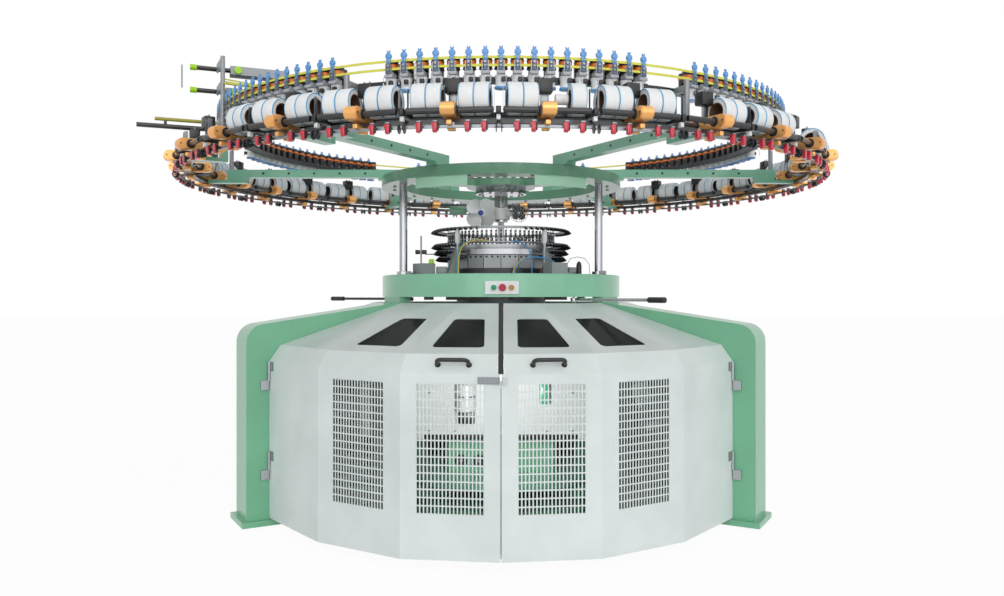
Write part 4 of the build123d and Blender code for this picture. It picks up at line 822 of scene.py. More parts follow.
stop = bmesh.new()
add_blocks(stop, stop_blocks)
add_round(stop, 0.0045, 0.010, at(0, -0.005, -0.021) @ AXIS_TO_Y, 10, 3, 0.001)
make_piece(
    "stop_levers", copied(stop, stop_places),
    (red_plastic, black_plastic, grey_steel, white_plastic),
    instead_of=("stop_motions",),
)

# %% [markdown]
# Storage feeders
#
# Over a hundred feeders hang on the inner rail, left out beside the posts. Their turns could
# be typed as a list; counted in equal steps, with the steps at a post dropped, they keep the
# pitch of the real rail.

# %% Places of the storage feeders
FEEDER_PITCH = 2.45
FEEDER_FRONT = 1.585
FEEDER_COUNT = int(360 / FEEDER_PITCH) + 1
POST_CLEARANCE = 5.8
POST_GAPS = ((24.2, 31.0), (-26.0, -18.2)) + tuple(
    (turn - POST_CLEARANCE, turn + POST_CLEARANCE) for turn in (90, -90, 150, 210)
)
feeder_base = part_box("feeder_rail")[1].z


def beside_post(turn):
    """Whether a feeder at this turn would stand at a post."""
    return any((turn - first) % 360 < last - first for first, last in POST_GAPS)


feeder_turns = [step * FEEDER_PITCH for step in range(FEEDER_COUNT)]
feeder_places = [
    polar(turn, FEEDER_FRONT, feeder_base) for turn in feeder_turns if not beside_post(turn)
]
print(len(feeder_places), "feeders")

# %% [markdown]
# Each feeder has a cast body on the rail, a blue stem with a round tension disc and a knob, a
# dark box towards the middle of the machine, and a wire arm with a small eye that leads the
# yarn. The colours change from part to part, so every part is its own small form; one block
# with a painted pattern would look flat from above and from behind.

# %% Bodies of the storage feeders
feeder_blocks = (
    ((0.044, 0.032, 0.024), (-0.021, 0, 0.012), 0, 0.003),
    ((0.014, 0.036, 0.014), (0.003, 0, 0.004), 0, 0.002),
    ((0.006, 0.016, 0.044), (0.0065, 0, 0.034), 6, 0.0015),
    ((0.006, 0.018, 0.028), (0.0065, 0, 0.069), 1, 0.0015),
    ((0.004, 0.003, 0.038), (0.006, -0.0125, 0.034), 4, 0.0),
    ((0.004, 0.003, 0.038), (0.006, 0.0125, 0.034), 4, 0.0),
    ((0.006, 0.012, 0.004), (0.004, 0, 0.1040), 1, 0.0),
    ((0.024, 0.032, 0.080), (-0.067, 0, 0.034), 2, 0.002),
    ((0.025, 0.033, 0.010), (-0.067, 0, 0.050), 3, 0.0),
    ((0.014, 0.018, 0.018), (0.004, 0.010, -0.024), 2, 0.002),
)
TENSION_DISC = [
    (0, 0), (0.0125, 0), (0.0140, 0.002), (0.0140, 0.009), (0.0115, 0.012), (0.005, 0.013),
    (0, 0.013),
]
YARN_EYE = [(0.0028, -0.002), (0.0046, -0.001), (0.0046, 0.001), (0.0028, 0.002)]
YARN_ARM = [(0.004, -0.013, 0.0), (0.020, -0.015, -0.004), (0.024, -0.014, -0.030)]

feeder = bmesh.new()
add_blocks(feeder, feeder_blocks)
for z, radius in ((0.030, 0.0050), (0.046, 0.0062), (0.062, 0.0040)):
    add_round(feeder, radius, 0.004, at(0.0095, 0, z) @ AXIS_TO_X, 12, 4, 0.001)
add_turned(feeder, TENSION_DISC, at(-0.001, 0, 0.087) @ AXIS_TO_X, 20, 1)
add_round(feeder, 0.0035, 0.005, at(0.004, 0, 0.0995), 10, 1)
for y in (-0.005, 0.005):
    add_round(feeder, 0.0030, 0.006, at(0.004, y, 0.1045), 10, 1, 0.001)
add_bar(feeder, YARN_ARM, 0.0013, 6, 4)
add_turned(feeder, YARN_EYE, at(0.024, -0.014, -0.034) @ AXIS_TO_Y, 10, 5, ring=True)
make_piece(
    "feeder_bodies", copied(feeder, feeder_places),
    (grey_plastic, blue_plastic, black_plastic, orange_plastic, grey_steel, white_plastic,
     slate_plastic),
    instead_of=("yarn_feeders",),
)

# %% [markdown]
# A stack of belt wheels sits behind the stem and drives the storage drum underneath. Both are
# turned parts on upright axles: the wheels have flanges that keep the belts in, and the drum
# narrows in the middle, where the yarn is stored.

# %% Belt wheels and drums
WHEEL_PLACE = at(-0.031, 0, 0)
DRUM_PLACE = at(-0.0256, 0, 0)
WHEEL_STACK = (
    (0.0245, 0.0275, 0.0285, 0), (0.0275, 0.0385, 0.0262, 0), (0.0385, 0.0420, 0.0285, 0),
    (0.0420, 0.0575, 0.0272, 1), (0.0575, 0.0605, 0.0285, 0), (0.0605, 0.0715, 0.0262, 0),
    (0.0715, 0.0745, 0.0285, 0),
)
DRUM_RIM = [(0, -0.058), (0.0262, -0.058), (0.0268, -0.056), (0.0268, -0.051), (0, -0.051)]
DRUM_WAIST = [
    (0.0245, -0.051), (0.0228, -0.040), (0.0228, -0.022), (0.0250, -0.010), (0.0266, -0.004),
    (0, -0.002),
]

wheels = bmesh.new()
for low, high, radius, finish in WHEEL_STACK:
    add_round(wheels, radius, high - low, WHEEL_PLACE @ at(0, 0, low), 20, finish)
add_round(wheels, 0.004, 0.006, WHEEL_PLACE @ at(0, 0, WHEEL_STACK[-1][1]), 8, 2)
add_turned(wheels, DRUM_RIM, DRUM_PLACE, 20, 3)
add_turned(wheels, DRUM_WAIST, DRUM_PLACE, 20, 4)
make_piece(
    "feeder_wheels", copied(wheels, feeder_places),
    (black_plastic, orange_plastic, grey_steel, blue_plastic, white_plastic),
)

# %% [markdown]
# The knitting head
#
# Yarn carriers stand close together above the sinkers and lead each yarn to its needle through
# a white ceramic eye. They stand on a thin ring, so the row reads as one part. An array
# modifier could set them round the ring; a list of places does it for every part that
# repeats on this machine, also where a few are left out.

# %% Yarn carriers
CARRIER_COUNT = 72
CARRIER_RADIUS = 0.300
carrier_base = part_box("sinker_ring")[1].z
carrier_blocks = (
    ((0.006, 0.011, 0.070), (0.012, 0, 0.041), 0, 0.0),
    ((0.030, 0.005, 0.005), (0.0, 0, 0.010), 1, 0.0),
)
UPPER_EYE = [(0.0025, -0.003), (0.0055, -0.002), (0.0055, 0.002), (0.0025, 0.003)]
LOWER_EYE = [(0.0015, -0.002), (0.0040, -0.001), (0.0040, 0.001), (0.0015, 0.002)]
CARRIER_RING = [(0.304, 0.0), (0.322, 0.004), (0.322, 0.010), (0.304, 0.012)]

carrier = bmesh.new()
add_blocks(carrier, carrier_blocks)
add_turned(carrier, UPPER_EYE, at(0.018, 0, 0.062) @ AXIS_TO_X, 12, 2, ring=True)
add_turned(carrier, LOWER_EYE, at(0.016, 0, 0.028) @ AXIS_TO_X, 10, 2, ring=True)
add_round(carrier, 0.0016, 0.020, at(0.014, 0.003, 0.074), 6, 1)
carrier_places = [
    polar(step * 360 / CARRIER_COUNT, CARRIER_RADIUS, carrier_base)
    for step in range(CARRIER_COUNT)
]
make_piece(
    "yarn_carriers", copied(carrier, carrier_places),
    (dark_steel, bright_steel, white_plastic),
)
holder = bmesh.new()
add_turned(holder, CARRIER_RING, at(0, 0, carrier_base + 0.004), 96, 0, ring=True)
make_piece("carrier_ring", holder, (grey_steel,))

# %% [markdown]
# Behind the carriers the needles rise in the tricks of the cylinder. A real machine has a few
# thousand; a part of them, evenly spread, gives the same bright comb and stays light to draw.
# They ride on the rotor, because they turn with the cylinder.

# %% Needles
NEEDLE_COUNT = 240
NEEDLE_RADIUS = 0.262
needle_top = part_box("needle_cylinder")[1].z
stem_and_hook = (
    ((0.0012, 0.0008, 0.024), (-0.002, 0, 0.006), 0, 0.0),
    ((0.0040, 0.0008, 0.0016), (-0.0005, 0, 0.0185), 0, 0.0),
)

needle = bmesh.new()
add_blocks(needle, stem_and_hook)
needle_places = [
    polar(step * 360 / NEEDLE_COUNT, NEEDLE_RADIUS, needle_top) for step in range(NEEDLE_COUNT)
]
make_piece(
    "needles", copied(needle, needle_places), (bright_steel,), body="rotor"
)

# %% [markdown]
# Dark fins fill the three tiers of yarn guides round the sides and the back, and smaller ones
# lean out from the guide ring above. They are one cut sheet, set up in rows like the slats of
# a blind; the front stays open, where the operator threads the yarn.

# %% Fins of the guide tiers
FIN_TIERS = ((0.372, 1.3735), (0.384, 1.4095), (0.396, 1.4455))
FIN_INSET = 0.017
FIN_THICKNESS = 0.0016
GUIDE_FIN_SCALE = 0.7
fin_outline = [
    (-0.022, -0.010), (0.020, -0.019), (0.034, -0.012), (0.014, 0.010), (-0.022, 0.009)
]

fin = bmesh.new()
add_plate(fin, fin_outline, FIN_THICKNESS, at(0, FIN_THICKNESS / 2, 0) @ UPRIGHT, 0)
tier_lean = Matrix.Rotation(radians(24), 4, "X")
fin_places = [
    polar(turn, radius - FIN_INSET, height) @ tier_lean
    for radius, height in FIN_TIERS
    for turn in range(40, 324, 4)
]
guide_lean = Matrix.Rotation(radians(30), 4, "X") @ Matrix.Scale(GUIDE_FIN_SCALE, 4)
fin_places += [polar(turn, 0.392, 1.529) @ guide_lean for turn in range(20, 345, 5)]
make_piece("guide_fins", copied(fin, fin_places), (dark_steel,))

# %% [markdown]
# Four posts hold the guide ring. Each gets a white sleeve and, at its foot, a pair of thin
# gussets, the small triangles that keep a post from leaning. A sleeve is turned and a gusset
# is a thin plate, so the two helpers make them without any modelling by hand.

# %% Sleeves and gussets of the posts
SLEEVE = [(0.0132, 0.0), (0.0146, 0.002), (0.0146, 0.078), (0.0132, 0.080)]
GUSSET = ((0.004, 0.0), (0.076, 0.0), (0.004, 0.152))
GUSSET_THICKNESS = 0.0012
GUSSET_OFFSET = 0.0078

sleeves = bmesh.new()
for turn in (-140, -40, 40, 140):
    add_turned(sleeves, SLEEVE, polar(turn, 0.379, 1.446), 20, 0, ring=True)
    for side in SIDES:
        cheek_y = side * GUSSET_OFFSET + GUSSET_THICKNESS / 2
        cheek = polar(turn, 0.389, 1.274) @ at(0, cheek_y, 0) @ UPRIGHT
        add_plate(sleeves, GUSSET, GUSSET_THICKNESS, cheek, 1)
make_piece("post_sleeves", sleeves, (white_plastic, grey_enamel))

# %% [markdown]
# The cam ring is twenty blocks side by side. The imported model has them as one bright band, so
# the dark seams between them, a groove above and below and the screws in their holes are laid
# on in black: painted shade for the gaps, the grooves and the holes round the dark screw heads.
# Real gaps would need the blocks to be cut, and show no more than these hair lines.

# %% Seams and screws of the cams
CAM_COUNT = 20
CAM_SCREW_DROP = 0.014
CAM_SCREW_PITCH = 0.032
CAM_GROOVE = [(0.3158, 0.0), (0.3163, 0.0), (0.3163, 0.006), (0.3158, 0.006)]
cam_low, cam_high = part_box("cam_blocks")
cam_radius = cam_high.x
cam_middle = (cam_low.z + cam_high.z) / 2
screw_share = degrees(CAM_SCREW_PITCH / cam_radius)

# Black hair lines, rings and discs: painted shade for the gaps, the grooves and the holes round
# the screw heads.
seams = bmesh.new()
for block in range(CAM_COUNT):
    turn = block * 360 / CAM_COUNT
    seam = polar(turn, cam_radius + 0.0001, cam_middle)
    add_block(seams, (0.0006, 0.0022, cam_high.z - cam_low.z - 0.004), seam, 0)
    for step in (-1, 0, 1):
        screw_turn = turn + 180 / CAM_COUNT + step * screw_share
        screw = polar(screw_turn, cam_radius - 0.003, cam_high.z - CAM_SCREW_DROP) @ AXIS_TO_X
        add_round(seams, 0.0062, 0.001, screw, 16, 0)
for height in (cam_high.z - 0.004, cam_low.z + 0.001):
    add_turned(seams, CAM_GROOVE, at(0, 0, height), 96, 0, ring=True)
make_piece("cam_seam_shade", seams, (black_plastic,))

# %% [markdown]
# Small air hoses and a lubrication line arch over the front of the head. Each is one smooth
# curve through a few listed points, fixed to the bed and to the head at its two ends. A
# mesh tube would need many rings to bend as softly; a curve with a round bevel does it alone.


# %% A helper for the hoses
def add_hose(name, points, radius, finish):
    """A thin hose along the given points, as a curve with a round bevel."""
    data = bpy.data.curves.new(name, "CURVE")
    data.dimensions = "3D"
    data.bevel_depth = radius
    data.bevel_resolution = 4
    data.use_fill_caps = True
    spline = data.splines.new("NURBS")
    spline.points.add(len(points) - 1)
    for point, spot in zip(spline.points, points):
        point.co = (*spot, 1)
    spline.order_u = 3
    spline.use_endpoint_u = True
    spline.resolution_u = 12
    data.materials.append(finish)
    hose = bpy.data.objects.new(name, data)
    bpy.context.scene.collection.objects.link(hose)
    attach(hose, "frame")


# %% [markdown]
# The routes: two air hoses climb together on the left, one drops in front of the cams, and the
# lines for oil and air bow low over the bed on the right. Twins share a route, moved a little.

# %% Hoses at the head
LEFT_ROUTE = [
    (-0.2440, -0.340, 1.273), (-0.2430, -0.341, 1.330), (-0.2410, -0.340, 1.385),
    (-0.2240, -0.334, 1.430), (-0.1850, -0.326, 1.459), (-0.1320, -0.318, 1.468),
    (-0.0800, -0.312, 1.462),
]
MIDDLE_ROUTE = [
    (0.060, -0.312, 1.462), (0.098, -0.322, 1.458), (0.134, -0.336, 1.437),
    (0.158, -0.348, 1.404), (0.168, -0.356, 1.366), (0.170, -0.362, 1.330),
    (0.170, -0.364, 1.290), (0.170, -0.364, 1.273),
]
RIGHT_ROUTE = [
    (0.066, -0.372, 1.273), (0.070, -0.372, 1.300), (0.086, -0.370, 1.332),
    (0.118, -0.368, 1.356), (0.160, -0.366, 1.368), (0.206, -0.366, 1.368),
    (0.250, -0.364, 1.358), (0.284, -0.356, 1.340), (0.306, -0.350, 1.318),
    (0.314, -0.348, 1.292), (0.315, -0.348, 1.273),
]
SHORT_ROUTE = [
    (0.218, -0.372, 1.273), (0.222, -0.374, 1.300), (0.240, -0.378, 1.322),
    (0.268, -0.380, 1.326), (0.292, -0.374, 1.312), (0.302, -0.370, 1.290),
    (0.303, -0.370, 1.273),
]
THIN, SLIM, THICK = 0.0030, 0.0034, 0.0050


def beside(route, along, forward):
    """The same route a little further to the right and to the front."""
    return [(x + along, y - forward, z) for x, y, z in route]


teal_hose = make_finish("teal_hose", (0.02, 0.36, 0.42), roughness=0.35)
yellow_hose = make_finish("yellow_hose", (0.74, 0.52, 0.05), roughness=0.35)
blue_hose = make_finish("blue_hose", (0.02, 0.28, 0.66), roughness=0.35)
brown_hose = make_finish("brown_hose", (0.12, 0.06, 0.03), roughness=0.5)
add_hose("teal_air_hose", LEFT_ROUTE, SLIM, teal_hose)
add_hose("yellow_air_hose", beside(LEFT_ROUTE, 0.009, 0.006), SLIM, yellow_hose)
add_hose("blue_air_hose", MIDDLE_ROUTE, THIN, blue_hose)
add_hose("yellow_line", RIGHT_ROUTE, SLIM, yellow_hose)
add_hose("blue_line", beside(RIGHT_ROUTE, 0.008, 0.007), SLIM, blue_hose)
add_hose("brown_line", SHORT_ROUTE, THICK, brown_hose)

# %% [markdown]
# On the bed beside the head stand a measuring post with black clamps and a small lime valve.
# Each is a handful of plain forms: they are small in the picture, but without them the bed
# looks like a bare tray. One shape collects all that stands on the bed, because it all rides
# on the same body.

# %% Measuring post and valve
CLAMP_HEIGHT = 1.404
bed_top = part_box("bed_plate")[1].z
post_foot = at(-0.4546, -0.200, bed_top)
post_clamps = (
    ((0.026, 0.024, 0.024), (-0.474, -0.200, CLAMP_HEIGHT), 1, 0.003),
    ((0.026, 0.024, 0.024), (-0.436, -0.200, CLAMP_HEIGHT), 1, 0.003),
    ((0.012, 0.012, 0.010), (-0.4546, -0.200, CLAMP_HEIGHT), 2, 0.002),
)
air_valve = (
    ((0.030, 0.022, 0.030), (-0.385, -0.330, 0.072), 3, 0.006),
    ((0.020, 0.020, 0.056), (-0.385, -0.330, 0.028), 2, 0.003),
)

tools = bmesh.new()
add_round(tools, 0.0045, 0.224, post_foot, 12, 0, 0.001)
add_round(tools, 0.016, 0.012, post_foot, 16, 1, 0.002)
add_blocks(tools, post_clamps)
add_round(tools, 0.003, 0.060, at(-0.430, -0.200, 1.392) @ AXIS_TO_X, 8, 0)
add_blocks(tools, air_valve, at(0, 0, bed_top))
print("post and valve", len(tools.faces), "faces")

# %% [markdown]
# On the right stands a black oiler, a turned bottle on a steel foot. A thin pipe arches over
# it and down to the bed. A curve would do for the pipe as for the hoses; it is short and
# stiff, so it is a bar in the same shape.

# %% Oiler and its pipe
OILER = [(0, 0), (0.015, 0), (0.015, 0.052), (0.012, 0.066), (0.005, 0.076), (0, 0.077)]
oiler_foot = at(0.438, -0.260, bed_top)
oil_pipe = [
    (0.372, -0.250, bed_top + 0.062), (0.392, -0.252, bed_top + 0.094),
    (0.430, -0.254, bed_top + 0.102), (0.470, -0.256, bed_top + 0.094),
    (0.496, -0.258, bed_top + 0.060), (0.500, -0.260, bed_top),
]
add_turned(tools, OILER, oiler_foot, 20, 1)
add_round(tools, 0.020, 0.005, oiler_foot, 20, 0, 0.001)
add_bar(tools, oil_pipe, 0.0018, 8, 0)
print("with the oiler", len(tools.faces), "faces")

# %% [markdown]
# Pale boxes of the air supply stand on the bed, and a few dark boxes with the wiring hang under
# its front edge. Each could be placed by its middle; given by its spot and size alone, its
# height follows from the face that it sits on, and no box can float.

# %% Boxes on and under the bed
BED_UNDERSIDE = 1.150
CABLE_BOX_HEIGHT = 0.016
pale_boxes = (
    (-0.330, -0.300, (0.060, 0.050, 0.046)), (0.330, -0.300, (0.044, 0.050, 0.058)),
    (0.400, -0.200, (0.070, 0.050, 0.018)), (-0.500, -0.260, (0.080, 0.040, 0.014)),
    (-0.520, -0.330, (0.046, 0.030, 0.020)), (0.560, -0.340, (0.040, 0.030, 0.022)),
)
cable_boxes = (
    (-0.240, 0.100, -0.55), (-0.385, 0.050, -0.50), (0.055, 0.030, -0.60),
    (0.290, 0.120, -0.52), (0.430, 0.040, -0.46),
)
for x, y, size in pale_boxes:
    add_block(tools, size, at(x, y, bed_top + size[2] / 2), 4, 0.003)
for x, width, y in cable_boxes:
    spot = at(x, y, BED_UNDERSIDE - CABLE_BOX_HEIGHT / 2)
    add_block(tools, (width, 0.03, CABLE_BOX_HEIGHT), spot, 1, 0.002)
make_piece(
    "bed_fittings", tools,
    (grey_steel, black_plastic, grey_plastic, lime_plastic, grey_enamel),
)

# %% [markdown]
# The upper ring
#
# Two bare pale plates hang under the front of the ring, one on each side of the middle. A flat
# plate could be bent by a modifier; a strip of arc seen from above, thickened by the height
# of the plate, is shorter and keeps the curve exact.

# %% Bare plates of the ring
PLATE_SPANS = ((-41.2, -14.6), (14.6, 41.2))
PLATE_STEPS = 16
PLATE_INNER, PLATE_OUTER = 0.686, 0.690
PLATE_HEIGHT = 0.056
ring_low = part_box("upper_ring")[0].z


def arc_points(first, last, radius, steps):
    """Points in plan along an arc between two turns from the front."""
    turns = [first + (last - first) * step / steps for step in range(steps + 1)]
    return [tuple(polar(turn, radius, 0).translation.xy) for turn in turns]


plates = bmesh.new()
for first, last in PLATE_SPANS:
    inner = arc_points(first, last, PLATE_INNER, PLATE_STEPS)
    outer = arc_points(first, last, PLATE_OUTER, PLATE_STEPS)
    add_plate(plates, outer + inner[::-1], PLATE_HEIGHT, at(0, 0, ring_low - PLATE_HEIGHT), 0)
make_piece("bare_sign_plates", plates, (light_green_enamel,))

# %% [markdown]
# The arms carry rows of small dark holes, and bolt heads show under the ring and on the hub.
# A hole as shallow as these reads the same as a thin dark disc laid on the side of the arm: the
# disc is painted shade in place of the hole, and the arm's own mesh stays as it was packed.
# Bolt heads have six sides.

# %% Holes and bolts of the ring
HOLE_LIFT = 0.0165
HOLE_OFFSET = 0.030
BOLT_HEIGHT = 0.006
HUB_BOLT_LEVEL = 1.748
arm_low, arm_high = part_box("radial_arms")
hole_height = (arm_low.z + arm_high.z) / 2 + HOLE_LIFT

# Dark discs on the arms: painted shade in place of holes.
bolts = bmesh.new()
for turn in range(30, 390, 60):
    for radius in (0.80, 0.95, 1.10, 1.25, 1.40):
        for side in SIDES:
            hole = polar(turn, radius, hole_height) @ at(0, side * HOLE_OFFSET, 0)
            add_round(bolts, 0.007, 0.0012, hole @ outward(side), 14, 0)
for turn in range(0, 360, 15):
    add_round(bolts, 0.009, BOLT_HEIGHT, polar(turn, 0.63, ring_low - BOLT_HEIGHT), 6, 1)
for turn in range(0, 360, 30):
    add_round(bolts, 0.008, BOLT_HEIGHT, polar(turn, 0.125, HUB_BOLT_LEVEL), 6, 1)
make_piece("ring_bolts_and_hole_shade", bolts, (black_plastic, grey_steel))

# %% [markdown]
# Lint fans
#
# Two fans on a carrier blow lint away from the needles. The large one has four broad white
# blades with a blue centre, and the small one is dark metal. The blades could be curved like
# an aircraft propeller; flat rounded plates set at thirty degrees look the same in the
# picture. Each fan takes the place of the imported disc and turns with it.


# %% Fans
def box_middle(box):
    """The middle of a box of two corners."""
    low, high = box
    return (low + high) / 2


def blade_outline(reach, width, steps=12):
    """A broad rounded blade that starts at the hub and reaches outward along local X."""
    middle = reach * 0.58
    half = reach * 0.42
    angles = [pi * step / steps for step in range(2 * steps)]
    return [(middle + half * cos(a), width / 2 * sin(a)) for a in angles]


def add_fan(name, centre, reach, width, finishes, body, node, hub):
    """A fan with four pitched blades on a round hub; its axis points to the front."""
    shape = bmesh.new()
    facing = at(*centre) @ UPRIGHT
    pitch = Matrix.Rotation(radians(30), 4, "X")
    for turn in (45, 135, 225, 315):
        spin = Matrix.Rotation(radians(turn), 4, "Z")
        add_plate(shape, blade_outline(reach, width), 0.002, facing @ spin @ pitch, 0)
    boss = [(0, -0.008), (hub, -0.008), (hub, 0.008), (hub * 0.8, 0.013), (0, 0.014)]
    add_turned(shape, boss, facing, 24, 0)
    add_round(shape, hub * 0.62, 0.004, facing @ at(0, 0, 0.0135), 20, 1, 0.001)
    make_piece(name, shape, finishes, body=body, instead_of=(node,))


small_centre = box_middle(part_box("small_fan"))
add_fan(
    "large_fan_blades", box_middle(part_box("large_fan")), 0.095, 0.112,
    (white_enamel, deep_blue_plastic), "large_fan_rotor", "large_fan", 0.026,
)
add_fan(
    "small_fan_blades", small_centre, 0.046, 0.046, (dark_steel, grey_steel),
    "small_fan_rotor", "small_fan", 0.014,
)

# %% [markdown]
# A wire guard keeps fingers out of the small fan: rings of wire in front, joined by spokes
# that bend back round the rim. Each wire is a bar along a few points, because a modifier that
# turns edges into tubes would give every wire the same thickness.

# %% Wire guard of the small fan
GUARD_RADIUS = 0.053
GUARD_FRONT = -0.024
GUARD_BACK = 0.052
GUARD_RINGS = 4
GUARD_SPOKES = 10
RING_STEPS = 28
carrier_blocks = (
    ((0.100, 0.030, 0.050), (-0.252, -0.050, 1.655), 1, 0.003),
    ((0.060, 0.008, 0.008), (-0.190, -0.050, 1.655), 0, 0.0),
)


def guard_point(angle, radius, y):
    """A point of the guard, at an angle and a radius round the middle of the small fan."""
    return small_centre + Vector((radius * cos(angle), y, radius * sin(angle)))


guard = bmesh.new()
for ring in range(GUARD_RINGS):
    radius = GUARD_RADIUS * (1 - ring * 0.24)
    y = GUARD_FRONT + ring * 0.001
    angles = [2 * pi * step / RING_STEPS for step in range(RING_STEPS + 1)]
    add_bar(guard, [guard_point(angle, radius, y) for angle in angles], 0.0014, 6, 0)
for spoke in range(GUARD_SPOKES):
    angle = 2 * pi * spoke / GUARD_SPOKES
    start = guard_point(angle, GUARD_RADIUS * 0.26, GUARD_FRONT)
    bend = guard_point(angle, GUARD_RADIUS, GUARD_FRONT)
    end = guard_point(angle, GUARD_RADIUS, GUARD_BACK)
    add_bar(guard, [start, bend, end], 0.0012, 6, 0)
add_blocks(guard, carrier_blocks)
make_piece("fan_guard", guard, (grey_steel, ring_enamel), body="fan_head")

# %% [markdown]
# Doors
#
# Each door is one sheet with upright folds: an upright panel, a leaning band and a shallow
# roof on every facet. What is laid on it has to follow these planes. They could be read from
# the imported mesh; worked out from plan corners and levels they stay exact. First the plan: the
# corners as radius and turn, the lines between them, and where two lines cross.

# %% Plan of a door
DOOR_CORNERS = ((1.4009, 55.17), (1.461, 34.43), (1.5114, 16.39), (1.504, 0))
FACETS = (1, 2)
BAND_LEAN = 0.055
ROOF_RUN = 0.650
PANEL_FOOT = (0.047, 0)
PANEL_TOP = (0.83, 0)
EAVE = (0.910, BAND_LEAN)
ROOF_TOP = (1.118, BAND_LEAN + ROOF_RUN)
SHEET = 0.003
SEAM_GAP = 0.002


def plan_point(radius, turn):
    """A point in plan on the left half of the machine, turned from the front."""
    return Vector((-radius * sin(radians(turn)), -radius * cos(radians(turn)), 0))


def facet_line(facet, inset):
    """The plan line of a facet of the left leaf, moved inward."""
    start = plan_point(*DOOR_CORNERS[facet])
    along = (plan_point(*DOOR_CORNERS[facet + 1]) - start).normalized()
    return start + Vector((-along.y, along.x, 0)) * inset, along


def meet(first, second):
    """Where two plan lines cross."""
    point, along = first
    other, across = second
    gap = other - point
    share = (gap.x * across.y - gap.y * across.x) / (along.x * across.y - along.y * across.x)
    return point + along * share


print("plan corners", [tuple(round(v, 3) for v in plan_point(*c).xy) for c in DOOR_CORNERS])

# %% [markdown]
# Then the plane of a facet, as a matrix: local X runs along its lower edge, Y up the sheet and
# Z outward. With such a matrix a grille, a pane or a handle is drawn flat and lands on the
# slope, so one function serves them all.


# %% Planes of the door facets
def facet_place(facet, low, high, seam_gap=SEAM_GAP):
    """The outer plane of a facet between two levels of (height, inset), and its length."""
    seam = (Vector((-seam_gap, 0, 0)), Vector((0, 1, 0)))

    def corner(number, inset):
        """One plan corner of the leaf."""
        if number == len(DOOR_CORNERS) - 1:
            return meet(facet_line(number - 1, inset), seam)
        return meet(facet_line(number - 1, inset), facet_line(number, inset))

    start = corner(facet, low[1]) + Vector((0, 0, low[0]))
    end = corner(facet + 1, low[1]) + Vector((0, 0, low[0]))
    above = corner(facet, high[1]) + Vector((0, 0, high[0]))
    along = (end - start).normalized()
    out = along.cross(above - start).normalized()
    place = Matrix((along, out.cross(along), out)).transposed().to_4x4()
    place.translation = start
    return place, (end - start).length


for facet in FACETS:
    print("facet", facet, round(facet_place(facet, PANEL_FOOT, PANEL_TOP)[1], 3), "m long")

# %% [markdown]
# The right door mirrors the left one. Every piece of the doors is therefore built for the left
# leaf only, and a helper makes both. A mirror modifier would put both halves in one piece, and
# then they couldn't swing apart.

# %% A helper for both doors
MIRRORS = {"left": Matrix.Identity(4), "right": Matrix.Scale(-1, 4, (1, 0, 0))}


def make_leaf_pieces(ending, build, finishes, replaced=None):
    """A piece on each leaf from a function that builds the left one."""
    for side, mirrored in MIRRORS.items():
        shape = build()
        bmesh.ops.transform(shape, matrix=mirrored, verts=shape.verts)
        make_piece(
            f"{side}_{ending}", shape, finishes, body=f"{side}_leaf",
            instead_of=(f"{side}_{replaced}",) if replaced else (),
        )


guard_turns = [
    Matrix.Rotation(radians(turn), 4, "Z") @ mirrored
    for turn in (120, -120)
    for mirrored in MIRRORS.values()
]
print(len(guard_turns), "places for the fixed guards")

# %% [markdown]
# The grilles are rows of upright slots in the sheet itself. Cutting hundreds of slots with
# boolean modifiers is slow and leaves ragged faces. Here the sheet is a grid whose columns and
# rows are sheet and slot by turns: every cell that is sheet gets a front and a back, and an
# edge face where it meets a slot.


# %% A slotted sheet
def add_grille(shape, size, slots, slot_size, thickness, place, finish=0):
    """A flat sheet from local Z 0 inward, with a grid of upright slots cut through it."""
    rows = []
    for length, count, opening in zip(size, slots, slot_size):
        pitch = length / count
        breaks = [-length / 2]
        for step in range(count):
            middle = -length / 2 + pitch * (step + 0.5)
            breaks += [middle - opening / 2, middle + opening / 2]
        rows.append(breaks + [length / 2])
    faces = []
    for level in (0, -thickness):
        faces.append([[shape.verts.new((x, y, level)) for y in rows[1]] for x in rows[0]])
    front, back = faces
    across, up = len(rows[0]) - 1, len(rows[1]) - 1

    def solid(column, row):
        """Whether a cell of the grid is sheet."""
        inside = 0 <= column < across and 0 <= row < up
        return inside and not (column % 2 and row % 2)

    for column in range(across):
        for row in range(up):
            if not solid(column, row):
                continue
            ring = [(column, row), (column + 1, row), (column + 1, row + 1), (column, row + 1)]
            shape.faces.new([front[a][b] for a, b in ring])
            shape.faces.new([back[a][b] for a, b in reversed(ring)])
            around = [(column, row - 1), (column + 1, row), (column, row + 1), (column - 1, row)]
            for edge, other in enumerate(around):
                if not solid(*other):
                    a, b = ring[edge], ring[(edge + 1) % 4]
                    shape.faces.new(
                        (front[b[0]][b[1]], front[a[0]][a[1]], back[a[0]][a[1]], back[b[0]][b[1]])
                    )
    verts = [vert for face in faces for column in face for vert in column]
    settle(shape, verts, place, finish)


try_out(
    "a sheet with nine slots", add_grille, (0.1, 0.1), (3, 3), (0.01, 0.02), 0.002, at(0, 0, 0)
)

# %% [markdown]
# One grille fills the window of each facet, flush with the outside and a hair smaller than the
# window, so that no two faces lie in one plane. The fixed guards at the back have the same
# sheets, so the same shape is turned to them.

# %% Grilles of the doors and guards
GRILLE_WIDTH = 0.290
GRILLE_LOW = 0.240
GRILLE_HIGH = 0.790
GRILLE_PLAY = 0.0006
SLOT_COUNTS = (18, 16)
SLOT_SIZE = (0.0104, 0.0286)
window_size = (GRILLE_WIDTH - GRILLE_PLAY, GRILLE_HIGH - GRILLE_LOW - GRILLE_PLAY)
window_middle = (GRILLE_LOW + GRILLE_HIGH) / 2 - PANEL_FOOT[0]


